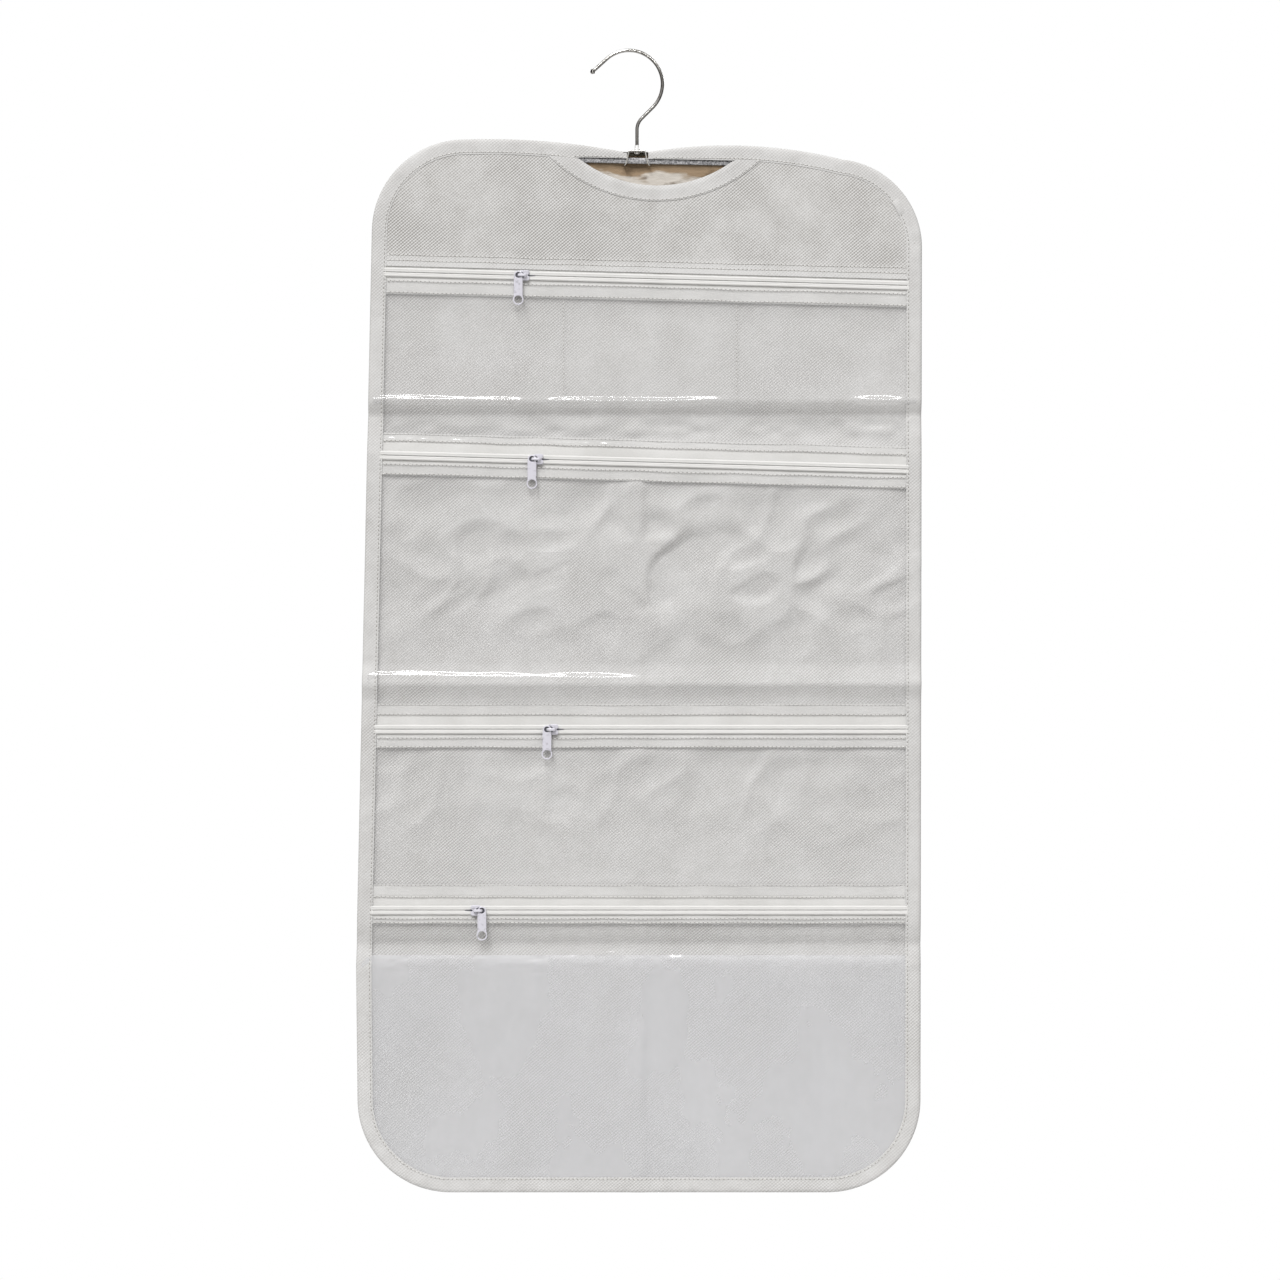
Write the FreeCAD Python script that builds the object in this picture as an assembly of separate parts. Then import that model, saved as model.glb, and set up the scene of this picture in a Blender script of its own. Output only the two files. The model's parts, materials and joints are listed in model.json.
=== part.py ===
"""Hanging fold-up jewellery organiser: wire hook, bar, fabric panels, clear pockets and four zips.

Millimetres. The origin is on the inside of the hook's crown, where a closet rod touches it. The
front faces -Y, +X is to the right seen from the front, and +Z is up. The panels hang flat, and
fold like an accordion: header, upper panel, lower panel and bottom panel.
"""
import FreeCAD, Part
import math
import os

# Hook wire
WIRE_RADIUS = 1.2
HOOK_RADIUS = 23.4
HOOK_TIP_ANGLE = 132.0
HOOK_TIP_RUN = 13.4
HOOK_TIP_BALL_RADIUS = 1.7
HOOK_THROAT_ANGLE = -45.0
HOOK_NECK_RADIUS = 11.0
STEM_X = 5.6
COLLAR_HEIGHT = 3.4
COLLAR_TOP_RADIUS = 1.6
COLLAR_FOOT_RADIUS = 2.7
HEAD_RADIUS = 2.6
HEAD_HEIGHT = 1.8

# Bracket and hanger bar
BRACKET_WIDTH = 16.0
BRACKET_DEPTH = 7.0
BRACKET_TOP = -69.0
BRACKET_FOOT = -81.0
BRACKET_GAUGE = 1.0
SWIVEL_CLEARANCE = 0.08
END_PLAY = 0.3
BAR_LEFT = -134.0
BAR_RIGHT = 140.0
BAR_HEIGHT = 4.0
BAR_THICKNESS = 2.0
BAR_Z = -76.2
BAR_SLOPE = -1.2

# Outline of the fabric, seen from the front
LEFT_SHOULDER_X = -180.0
LEFT_HIP_X = -191.0
LEFT_HIP_Z = -640.0
LEFT_FOOT_X = -190.0
RIGHT_SHOULDER_X = 205.0
RIGHT_FOOT_X = 204.0
SHOULDER_RADIUS = 65.0
SHOULDER_TOP = -61.5
RIGHT_SHOULDER_FOOT = -135.0
RIGHT_SHOULDER_MIDDLE = (189.7, -96.5)
RIGHT_SHOULDER_START = (149.0, -75.5)
LEFT_CREST = (-50.0, -63.6)
RIGHT_CREST = (58.0, -65.9)
DIP_LEFT_X = -5.0
DIP_RIGHT_X = 16.0
DIP_Z = -70.5
FOOT_RADIUS = 65.0
BOTTOM = -798.0

# Layers, from the front (negative Y) to the back
CLOTH = 0.5
VINYL = 0.3
OUTER_Y = 2.6
CORE_Y = OUTER_Y - CLOTH
FRONT_CLOTH = (-CORE_Y, -CORE_Y + CLOTH)
FRONT_VINYL = (-CORE_Y, -CORE_Y + VINYL)
TAPE_LAYER = (-1.5, -1.0)
COIL_LAYER = (-2.5, -1.5)
BACK_LAYER = (1.5, CORE_Y)

# Edge binding
BINDING_WIDTH = 10.0
FOLD_OF_BINDING = 0.6
NOTCH_MARGIN = 1.7
NOTCH_FOOT = -82.5

# Half-moon cut-out in the header's front
CUTOUT_LEFT = (-37.0, -73.3)
CUTOUT_RIGHT = (74.0, -75.7)
CUTOUT_LOWEST = (18.5, -93.7)
CUTOUT_BAND_LEFT = (-56.0, -72.0)
CUTOUT_BAND_RIGHT = (101.5, -74.0)
CUTOUT_BAND_LOWEST = (18.9, -104.5)

# Folds: each valley fold is a narrow spine between two fold lines, the middle fold is one line
FOLD_GAP = OUTER_Y + 0.3
VALLEY_1 = (-249.5, -261.5)
MOUNTAIN = -442.3
MOUNTAIN_GAP = 0.3
VALLEY_3 = (-625.5, -638.5)

# Zips. Each has its chain's height at MIDDLE_X, its slope, and its tape edges above and below it
MIDDLE_X = 8.0
CHAIN_GAP = 0.7
COIL_WIDTH = 2.4
COIL_TO_BINDING = 0.2
CLOTH_TO_CHAIN = 4.6
TAPE_INSET = 1.5
ZIPS = {
    1: {"z": -158.8, "slope": -1.5, "above": 15.0, "below": 15.0, "slider_x": -74.6, "nose": 1},
    2: {"z": -287.1, "slope": -1.55, "above": 16.0, "below": 13.5, "slider_x": -65.0, "nose": 1},
    3: {"z": -474.0, "slope": 0.0, "above": 18.0, "below": 13.0, "slider_x": -54.5, "nose": 1},
    4: {"z": -600.5, "slope": 0.0, "above": 18.0, "below": 9.5, "slider_x": -105.5, "nose": -1},
}

# Slider: two plates joined by a neck, and a bridge on two legs that holds the pull
SLIDER_LENGTH = 11.0
SLIDER_HEIGHT = 8.0
SLIDER_CORNER = 2.0
SLIDER_FRONT_PLATE = (-4.1, -2.9)
SLIDER_FLANGE_BACK = -2.4
SLIDER_FLANGE = 0.6
SLIDER_BACK_PLATE = (-0.7, 0.2)
NECK_LENGTH = 3.0
NECK_THICKNESS = 0.8
LEG_RADIUS = 0.8
LEG_SPACING = 5.6
PULL_LAYER = (-5.3, -4.5)
BRIDGE_LAYER = (-6.5, -5.7)
BRIDGE_WIDTH = 2.4
BRIDGE_CORNER = 1.08

# Pull: an eye round one leg of the bridge, a neck, and a plate with a finger hole
EYE_CLEARANCE = 0.35
EYE_RADIUS = 2.3
PULL_NECK_WIDTH = 3.2
PULL_NECK_END = 5.5
PULL_PLATE_TOP = 8.0
PULL_WIDTH = 7.4
PULL_LENGTH = 21.0
PULL_CORNER = 1.6
PULL_HOLE_RADIUS = 2.4
PULL_HOLE_Z = -15.9

# Pocket 1 is sewn through into three
DIVIDERS_X = (-45.8, 75.3)
DIVIDER_WIDTH = 1.2
DIVIDER_FOOT = -245.5

FAR = 1000.0
NEAR = 0.1


def point(x, z, y=0.0):
    """A point from its place seen from the front."""
    return FreeCAD.Vector(x, y, z)


def line(start, end):
    """A straight edge in the XZ plane."""
    return Part.LineSegment(point(*start), point(*end)).toShape()


def arc(start, middle, end):
    """An arc in the XZ plane through three points."""
    return Part.Arc(point(*start), point(*middle), point(*end)).toShape()


def on_circle(centre, radius, degrees):
    """The point of a circle at an angle counted from +X towards +Z."""
    angle = math.radians(degrees)
    return (centre[0] + radius * math.cos(angle), centre[1] + radius * math.sin(angle))


def quarter(centre, radius, first, last):
    """An arc about a centre, from one angle to another."""
    middle = on_circle(centre, radius, (first + last) / 2)
    return arc(on_circle(centre, radius, first), middle, on_circle(centre, radius, last))


def slab(face, layer):
    """A face in the XZ plane made as thick as a layer, which is (front y, back y)."""
    placed = face.copy()
    placed.translate(FreeCAD.Vector(0, layer[0], 0))
    return placed.extrude(FreeCAD.Vector(0, layer[1] - layer[0], 0))


def block(x, y, z):
    """A box from its three ranges."""
    return Part.makeBox(x[1] - x[0], y[1] - y[0], z[1] - z[0], FreeCAD.Vector(x[0], y[0], z[0]))


def post(x, z, radius, layer):
    """A cylinder along Y."""
    start = point(x, z, layer[0])
    return Part.makeCylinder(radius, layer[1] - layer[0], start, FreeCAD.Vector(0, 1, 0))


def rows(x, top, bottom):
    """A block through all layers between two heights, to cut bands out of the fabric."""
    return block(x, (-FAR, FAR), (bottom, top))


def everywhere(top, bottom):
    """A full-width band between two heights."""
    return rows((-FAR, FAR), top, bottom)


def sloped(shape, slope, z):
    """A shape turned in the XZ plane about MIDDLE_X at height z. A positive slope rises to the right."""
    turned = shape.copy()
    turned.rotate(point(MIDDLE_X, z), FreeCAD.Vector(0, 1, 0), -slope)
    return turned


def along(zipper, top, bottom):
    """A band that follows a zip's slope, from one distance above its chain to another."""
    z = zipper["z"]
    return sloped(everywhere(z + top, z + bottom), zipper["slope"], z)


def chain_height(zipper, x):
    """The height of a zip's chain at a given x."""
    return zipper["z"] + math.tan(math.radians(zipper["slope"])) * (x - MIDDLE_X)


def clean(shape):
    """The solid, or the group of solids, of a cut shape."""
    solids = [solid for solid in shape.Solids if solid.Volume > 1.0]
    return solids[0] if len(solids) == 1 else Part.makeCompound(solids)


def make_outline():
    """The outer edge of the whole fabric, as one face."""
    left_top = (LEFT_SHOULDER_X + SHOULDER_RADIUS, SHOULDER_TOP - SHOULDER_RADIUS)
    left_foot = (LEFT_FOOT_X + FOOT_RADIUS, BOTTOM + FOOT_RADIUS)
    right_foot = (RIGHT_FOOT_X - FOOT_RADIUS, BOTTOM + FOOT_RADIUS)
    shoulder_top = (left_top[0], SHOULDER_TOP)
    dip_left = (DIP_LEFT_X, DIP_Z)
    dip_right = (DIP_RIGHT_X, DIP_Z)
    right_side_top = (RIGHT_SHOULDER_X, RIGHT_SHOULDER_FOOT)
    hip = (LEFT_HIP_X, LEFT_HIP_Z)
    edges = [
        line(hip, (LEFT_SHOULDER_X, left_top[1])),
        quarter(left_top, SHOULDER_RADIUS, 180, 90),
        arc(shoulder_top, LEFT_CREST, dip_left),
        line(dip_left, dip_right),
        arc(dip_right, RIGHT_CREST, RIGHT_SHOULDER_START),
        arc(RIGHT_SHOULDER_START, RIGHT_SHOULDER_MIDDLE, right_side_top),
        line(right_side_top, (RIGHT_FOOT_X, right_foot[1])),
        quarter(right_foot, FOOT_RADIUS, 0, -90),
        line((right_foot[0], BOTTOM), (left_foot[0], BOTTOM)),
        quarter(left_foot, FOOT_RADIUS, -90, -180),
        line((LEFT_FOOT_X, left_foot[1]), hip),
    ]
    return Part.Face(Part.Wire(edges))


def make_segment(left, lowest, right):
    """A half-moon face: an arc below, its chord above."""
    return Part.Face(Part.Wire([arc(left, lowest, right), line(right, left)]))


def make_hook():
    """The hook: tip, crown, neck and stem of one bent wire, with a ball at its tip."""
    centre = (0.0, -(HOOK_RADIUS - WIRE_RADIUS))
    crown_start = on_circle(centre, HOOK_RADIUS, HOOK_TIP_ANGLE)
    tip = on_circle(crown_start, HOOK_TIP_RUN, HOOK_TIP_ANGLE + 90)
    crown_end = on_circle(centre, HOOK_RADIUS, HOOK_THROAT_ANGLE)
    run_angle = HOOK_THROAT_ANGLE - 90
    run = (crown_end[0] - STEM_X) / -math.cos(math.radians(run_angle))
    corner = on_circle(crown_end, run, run_angle)
    bend = HOOK_NECK_RADIUS * math.tan(math.radians(-HOOK_THROAT_ANGLE) / 2)
    neck_start = on_circle(corner, bend, run_angle + 180)
    neck_end = (STEM_X, corner[1] - bend)
    neck_centre = (STEM_X + HOOK_NECK_RADIUS, neck_end[1])
    stem_end = (STEM_X, BRACKET_TOP - BRACKET_GAUGE - END_PLAY - HEAD_HEIGHT / 2)
    path = Part.Wire([
        line(tip, crown_start),
        quarter(centre, HOOK_RADIUS, HOOK_TIP_ANGLE, HOOK_THROAT_ANGLE),
        line(crown_end, neck_start),
        quarter(neck_centre, HOOK_NECK_RADIUS, 180 + HOOK_THROAT_ANGLE, 180),
        line(neck_end, stem_end),
    ])
    along_tip = point(crown_start[0] - tip[0], crown_start[1] - tip[1])
    section = Part.Wire(Part.Circle(point(*tip), along_tip, WIRE_RADIUS).toShape())
    wire = path.makePipeShell([section], True, True)
    return wire.fuse(Part.makeSphere(HOOK_TIP_BALL_RADIUS, point(*tip))).removeSplitter()


def make_collar():
    """The flared collar pressed on the stem, just above the bracket."""
    foot = BRACKET_TOP + END_PLAY
    up = FreeCAD.Vector(0, 0, 1)
    flare = Part.makeCone(COLLAR_FOOT_RADIUS, COLLAR_TOP_RADIUS, COLLAR_HEIGHT, point(STEM_X, foot), up)
    return flare.cut(Part.makeCylinder(WIRE_RADIUS, COLLAR_HEIGHT, point(STEM_X, foot), up))


def make_head():
    """The riveted head that keeps the stem in the bracket."""
    top = BRACKET_TOP - BRACKET_GAUGE - END_PLAY
    down = FreeCAD.Vector(0, 0, -1)
    disc = Part.makeCylinder(HEAD_RADIUS, HEAD_HEIGHT, point(STEM_X, top), down)
    return disc.cut(Part.makeCylinder(WIRE_RADIUS, HEAD_HEIGHT / 2, point(STEM_X, top), down))


def make_bar():
    """The flat steel bar that spreads the header."""
    flat = block((BAR_LEFT, BAR_RIGHT), (-BAR_THICKNESS / 2, BAR_THICKNESS / 2),
                 (BAR_Z - BAR_HEIGHT / 2, BAR_Z + BAR_HEIGHT / 2))
    return sloped(flat, BAR_SLOPE, BAR_Z)


def make_bracket(bar):
    """The strip bent down over the bar, with the swivel hole in its web."""
    half = BRACKET_WIDTH / 2
    depth = (-BRACKET_DEPTH / 2, BRACKET_DEPTH / 2)
    outside = block((STEM_X - half, STEM_X + half), depth, (BRACKET_FOOT, BRACKET_TOP))
    upright = [edge for edge in outside.Edges if edge.BoundBox.ZMin > BRACKET_TOP - NEAR
               and edge.BoundBox.XLength < NEAR]
    outside = outside.makeFillet(2 * BRACKET_GAUGE, upright)
    inside = block((STEM_X - half + BRACKET_GAUGE, STEM_X + half - BRACKET_GAUGE), (-FAR, FAR),
                   (BRACKET_FOOT - 1, BRACKET_TOP - BRACKET_GAUGE))
    hole = Part.makeCylinder(WIRE_RADIUS + SWIVEL_CLEARANCE, 2 * BRACKET_GAUGE,
                             point(STEM_X, BRACKET_TOP - 1.5 * BRACKET_GAUGE))
    return outside.cut(inside).cut(hole).cut(bar)


def make_binding(outline, core, window, top, bottom, opened):
    """The tape folded round the fabric's edge, between two heights, less what is opened in it."""
    wall = slab(outline, (-OUTER_Y, OUTER_Y)).cut(slab(window, (-FAR, FAR)))
    tape = wall.cut(slab(core, (-CORE_Y, CORE_Y))).common(everywhere(top, bottom))
    for opening in opened:
        tape = tape.cut(opening)
    return clean(tape)


def make_zip(core, window, zipper):
    """A zip's two tapes and two coil strips, keyed by their part of the node's name."""
    layer = slab(core, TAPE_LAYER)
    coil = slab(window.makeOffset2D(-COIL_TO_BINDING), COIL_LAYER)
    far = CHAIN_GAP + COIL_WIDTH
    return {
        "tape_upper": clean(layer.common(along(zipper, zipper["above"], CHAIN_GAP))),
        "tape_lower": clean(layer.common(along(zipper, -CHAIN_GAP, -zipper["below"]))),
        "coil_upper": clean(coil.common(along(zipper, far, CHAIN_GAP))),
        "coil_lower": clean(coil.common(along(zipper, -CHAIN_GAP, -far))),
    }


def leg_offset(zipper):
    """Where the leg that carries the pull stands, from the slider's middle."""
    return -zipper["nose"] * LEG_SPACING / 2


def make_slider(zipper):
    """A zip's slider, with its neck between the coils and its bridge in front."""
    x = zipper["slider_x"]
    z = zipper["z"]
    length = (x - SLIDER_LENGTH / 2, x + SLIDER_LENGTH / 2)
    half = SLIDER_HEIGHT / 2
    plate = block(length, SLIDER_FRONT_PLATE, (z - half, z + half))
    corners = [edge for edge in plate.Edges if edge.BoundBox.YLength > NEAR]
    slider = plate.makeFillet(SLIDER_CORNER, corners)
    back = block(length, SLIDER_BACK_PLATE, (z - half, z + half))
    slider = slider.fuse(back)
    flange_x = (length[0] + SLIDER_CORNER, length[1] - SLIDER_CORNER)
    flange_y = (SLIDER_FRONT_PLATE[1], SLIDER_FLANGE_BACK)
    for low, high in ((-half, -half + SLIDER_FLANGE), (half - SLIDER_FLANGE, half)):
        slider = slider.fuse(block(flange_x, flange_y, (z + low, z + high)))
    neck_x = x + zipper["nose"] * (SLIDER_LENGTH / 2 - NECK_LENGTH)
    slider = slider.fuse(block((neck_x - NECK_LENGTH / 2, neck_x + NECK_LENGTH / 2),
                               (SLIDER_FRONT_PLATE[1], SLIDER_BACK_PLATE[0]),
                               (z - NECK_THICKNESS / 2, z + NECK_THICKNESS / 2)))
    for side in (-1, 1):
        slider = slider.fuse(post(x + side * LEG_SPACING / 2, z, LEG_RADIUS,
                                  (BRIDGE_LAYER[1], SLIDER_FRONT_PLATE[0])))
    reach = LEG_SPACING / 2 + BRIDGE_WIDTH / 2
    bridge = block((x - reach, x + reach), BRIDGE_LAYER, (z - BRIDGE_WIDTH / 2, z + BRIDGE_WIDTH / 2))
    ends = [edge for edge in bridge.Edges if edge.BoundBox.YLength > NEAR]
    slider = slider.fuse(bridge.makeFillet(BRIDGE_CORNER, ends))
    return sloped(slider.removeSplitter(), zipper["slope"], zipper["z"])


def pull_pivot(zipper):
    """The middle of the leg that carries the pull, on the sloped zip."""
    leg = Part.Vertex(point(zipper["slider_x"] + leg_offset(zipper), zipper["z"]))
    placed = sloped(leg, zipper["slope"], zipper["z"]).Point
    return (placed.x, placed.z)


def make_pull(zipper):
    """A zip's pull, hanging straight down from its eye."""
    x, z = pull_pivot(zipper)
    eye = post(x, z, EYE_RADIUS, PULL_LAYER)
    neck = PULL_NECK_WIDTH / 2
    half = PULL_WIDTH / 2
    shape = [
        (-neck, 0), (-neck, -PULL_NECK_END), (-half, -PULL_PLATE_TOP),
        (-half, -PULL_LENGTH), (half, -PULL_LENGTH),
        (half, -PULL_PLATE_TOP), (neck, -PULL_NECK_END), (neck, 0), (-neck, 0),
    ]
    outline = Part.makePolygon([point(x + dx, z + dz) for dx, dz in shape])
    plate = slab(Part.Face(outline), PULL_LAYER)
    low = [edge for edge in plate.Edges if edge.BoundBox.YLength > NEAR
           and edge.BoundBox.ZMax < z - PULL_LENGTH + NEAR]
    pull = plate.makeFillet(PULL_CORNER, low).fuse(eye)
    pull = pull.cut(post(x, z, LEG_RADIUS + EYE_CLEARANCE, (-FAR, FAR)))
    pull = pull.cut(post(x, z + PULL_HOLE_Z, PULL_HOLE_RADIUS, (-FAR, FAR)))
    return pull.removeSplitter()


def make_header(outline, core, window, cutout, notch):
    """The header's cloth: front, cut-out binding, back and edge binding, from the top to fold 1."""
    foot = VALLEY_1[0] + FOLD_GAP
    band = everywhere(0, foot)
    front = slab(core, FRONT_CLOTH).common(along(ZIPS[1], FAR / 2, CLOTH_TO_CHAIN))
    opening = slab(cutout, (-FAR, 0))
    crescent = make_segment(CUTOUT_BAND_LEFT, CUTOUT_BAND_LOWEST, CUTOUT_BAND_RIGHT)
    around = slab(crescent, (-OUTER_Y, FRONT_CLOTH[1] + CLOTH)).common(slab(window, (-FAR, FAR)))
    around = around.cut(opening).cut(notch)
    lip = slab(cutout.makeOffset2D(FOLD_OF_BINDING), (-FAR, 0))
    front = front.cut(notch).cut(lip)
    return {
        "header_front_panel": clean(front),
        "cutout_binding": clean(around.cut(front)),
        "back_panel_a": clean(slab(core, BACK_LAYER).common(band).cut(notch)),
        "edge_binding_a": make_binding(outline, core, window, 0, foot, [notch, opening]),
    }


def make_window(core, top, bottom):
    """A clear pocket front between two bands or heights."""
    sheet = slab(core, FRONT_VINYL)
    return clean(sheet.common(top).common(bottom))


def below(z):
    """Everything below a height."""
    return everywhere(z, -FAR)


def above(z):
    """Everything above a height."""
    return everywhere(0, z)


def under_zip(number):
    """Everything below a zip's chain, less the room for its coil."""
    return along(ZIPS[number], -CLOTH_TO_CHAIN, -FAR)


def over_zip(number):
    """Everything above a zip's tape, where the pocket above it ends."""
    return along(ZIPS[number], FAR, ZIPS[number]["above"] - TAPE_INSET)


def make_windows(core):
    """The clear pocket fronts, each cut where a fold crosses it."""
    a_foot = VALLEY_1[0] + FOLD_GAP
    b_top = VALLEY_1[1] - FOLD_GAP
    b_foot = MOUNTAIN + MOUNTAIN_GAP
    c_top = MOUNTAIN - MOUNTAIN_GAP
    c_foot = VALLEY_3[0] + FOLD_GAP
    d_top = VALLEY_3[1] - FOLD_GAP
    return {
        "pocket_1_window": make_window(core, under_zip(1), above(a_foot)),
        "pocket_1_window_hem": make_window(core, below(b_top), over_zip(2)),
        "pocket_2_window": make_window(core, under_zip(2), above(b_foot)),
        "pocket_2_window_hem": make_window(core, below(c_top), over_zip(3)),
        "pocket_3_window": make_window(core, under_zip(3), over_zip(4)),
        "pocket_4_window_head": make_window(core, under_zip(4), above(c_foot)),
        "pocket_4_window": make_window(core, below(d_top), above(BOTTOM)),
    }


def make_dividers():
    """The two seams that part pocket 1 into three."""
    seams = []
    for x in DIVIDERS_X:
        top = chain_height(ZIPS[1], x) - ZIPS[1]["below"] - TAPE_INSET
        seams.append(block((x - DIVIDER_WIDTH / 2, x + DIVIDER_WIDTH / 2),
                           (FRONT_VINYL[1], BACK_LAYER[0]), (DIVIDER_FOOT, top)))
    return Part.makeCompound(seams)


def make_spine(outline, core, window, number, lines):
    """The narrow strip of a valley fold: its back, its clear front and its two bound ends."""
    top = lines[0] - FOLD_GAP
    bottom = lines[1] + FOLD_GAP
    strip = everywhere(top, bottom)
    return {
        f"fold_{number}_back_strip": clean(slab(core, BACK_LAYER).common(strip)),
        f"fold_{number}_window_strip": clean(slab(core, FRONT_VINYL).common(strip)),
        f"fold_{number}_binding": make_binding(outline, core, window, top, bottom, []),
    }


def make_panel(outline, core, window, letter, top, bottom):
    """The back and the bound edges of a lower panel."""
    return {
        f"back_panel_{letter}": clean(slab(core, BACK_LAYER).common(everywhere(top, bottom))),
        f"edge_binding_{letter}": make_binding(outline, core, window, top, bottom, []),
    }


def build():
    """Every node of the organiser, by name."""
    outline = make_outline()
    core = outline.makeOffset2D(-FOLD_OF_BINDING)
    window = outline.makeOffset2D(-BINDING_WIDTH)
    cutout = make_segment(CUTOUT_LEFT, CUTOUT_LOWEST, CUTOUT_RIGHT)
    half = BRACKET_WIDTH / 2 + NOTCH_MARGIN
    notch = rows((STEM_X - half, STEM_X + half), 0, NOTCH_FOOT)
    bar = make_bar()
    nodes = {
        "hook_wire": make_hook(),
        "stem_collar": make_collar(),
        "stem_head": make_head(),
        "hanger_bar": bar,
        "swivel_bracket": make_bracket(bar),
        "pocket_1_dividers": make_dividers(),
    }
    nodes.update(make_header(outline, core, window, cutout, notch))
    nodes.update(make_windows(core))
    nodes.update(make_spine(outline, core, window, 1, VALLEY_1))
    nodes.update(make_spine(outline, core, window, 3, VALLEY_3))
    nodes.update(make_panel(outline, core, window, "b", VALLEY_1[1] - FOLD_GAP, MOUNTAIN + MOUNTAIN_GAP))
    nodes.update(make_panel(outline, core, window, "c", MOUNTAIN - MOUNTAIN_GAP, VALLEY_3[0] + FOLD_GAP))
    nodes.update(make_panel(outline, core, window, "d", VALLEY_3[1] - FOLD_GAP, -FAR))
    for number, zipper in ZIPS.items():
        for name, shape in make_zip(core, window, zipper).items():
            nodes[f"zipper_{number}_{name}"] = shape
        nodes[f"zipper_{number}_slider"] = make_slider(zipper)
        nodes[f"zipper_{number}_pull"] = make_pull(zipper)
        x, z = pull_pivot(zipper)
        print(f"zipper_{number}_pull turns about x {x:.3f} z {z:.3f}")
    return nodes


os.makedirs("parts", exist_ok=True)
for node, shape in build().items():
    box = shape.BoundBox
    print(f"{node}: {len(shape.Solids)} solid(s), {shape.Volume:.0f} mm3, x {box.XMin:.1f} {box.XMax:.1f}, "
          f"y {box.YMin:.2f} {box.YMax:.2f}, z {box.ZMin:.1f} {box.ZMax:.1f}, valid {shape.isValid()}")
    shape.exportStep(f"parts/{node}.step")
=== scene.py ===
"""A hanging fold-up jewellery organiser, dressed around its CAD frame.

Lengths are metres. The front faces -Y and +Z is up. The cloth hangs flat, so most shapes are laid
out as seen from the front, in x and z, and y is the layer they lie in.
"""
import json
import logging
import math
from collections.abc import Callable, Sequence
from dataclasses import dataclass, field
from enum import Enum

import bpy
import numpy as np
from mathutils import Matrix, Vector


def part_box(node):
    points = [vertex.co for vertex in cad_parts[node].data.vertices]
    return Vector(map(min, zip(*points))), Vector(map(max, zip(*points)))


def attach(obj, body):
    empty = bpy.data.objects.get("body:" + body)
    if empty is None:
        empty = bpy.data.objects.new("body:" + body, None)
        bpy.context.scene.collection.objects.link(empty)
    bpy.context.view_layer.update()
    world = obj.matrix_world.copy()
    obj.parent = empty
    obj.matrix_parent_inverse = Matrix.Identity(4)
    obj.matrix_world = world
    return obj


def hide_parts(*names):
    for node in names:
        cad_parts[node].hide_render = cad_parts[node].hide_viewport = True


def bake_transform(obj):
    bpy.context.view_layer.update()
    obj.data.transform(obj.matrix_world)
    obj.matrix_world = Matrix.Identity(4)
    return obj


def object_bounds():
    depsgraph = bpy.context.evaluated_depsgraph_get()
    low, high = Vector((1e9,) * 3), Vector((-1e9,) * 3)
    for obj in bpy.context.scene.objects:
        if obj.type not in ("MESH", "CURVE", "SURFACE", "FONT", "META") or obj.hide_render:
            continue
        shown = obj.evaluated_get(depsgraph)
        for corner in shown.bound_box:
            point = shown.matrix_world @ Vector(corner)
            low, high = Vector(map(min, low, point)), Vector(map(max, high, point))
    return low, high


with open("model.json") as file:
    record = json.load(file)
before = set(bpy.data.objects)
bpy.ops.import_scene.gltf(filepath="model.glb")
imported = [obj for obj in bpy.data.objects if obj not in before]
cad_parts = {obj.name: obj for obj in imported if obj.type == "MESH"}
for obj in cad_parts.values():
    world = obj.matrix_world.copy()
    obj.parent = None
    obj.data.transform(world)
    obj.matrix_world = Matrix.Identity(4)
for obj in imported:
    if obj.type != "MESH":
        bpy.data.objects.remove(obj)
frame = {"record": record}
CAD_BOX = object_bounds()

MM = 0.001
JOINTS = {joint["name"]: joint for joint in frame["record"]["behaviour"]["joints"]}
LOG = logging.getLogger("organiser")

Array = np.ndarray
Place = Callable[[Array, Array], tuple[Array, Array, Array]]


# ---------------------------------------------------------------------------------------- materials


class Value:
    """A number in a shader tree. Python's arithmetic on it adds Math nodes."""

    def __init__(self, paint: "Paint", socket: bpy.types.NodeSocket) -> None:
        """Wraps an output socket of the paint's tree."""
        self.paint = paint
        self.socket = socket

    def __add__(self, other: "Value | float") -> "Value":
        """Adds."""
        return self.paint.math("ADD", self, other)

    __radd__ = __add__

    def __sub__(self, other: "Value | float") -> "Value":
        """Subtracts."""
        return self.paint.math("SUBTRACT", self, other)

    def __rsub__(self, other: float) -> "Value":
        """Subtracts this from a number."""
        return self.paint.math("SUBTRACT", other, self)

    def __mul__(self, other: "Value | float") -> "Value":
        """Multiplies."""
        return self.paint.math("MULTIPLY", self, other)

    __rmul__ = __mul__

    def __pow__(self, other: float) -> "Value":
        """Raises to a power."""
        return self.paint.math("POWER", self, other)

    def sine(self) -> "Value":
        """The sine."""
        return self.paint.math("SINE", self)

    def above(self, edge: float, softness: float) -> "Value":
        """0 below an edge and 1 above it, with a soft step.

        Args:
            edge: The middle of the step.
            softness: The step's whole width.

        Returns:
            The stepped value.
        """
        step = self.paint.add(
            "ShaderNodeMapRange",
            {"clamp": True, "interpolation_type": "SMOOTHSTEP"},
            {"Value": self, "From Min": edge - softness / 2, "From Max": edge + softness / 2},
        )
        return Value(self.paint, step.outputs["Result"])


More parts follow.
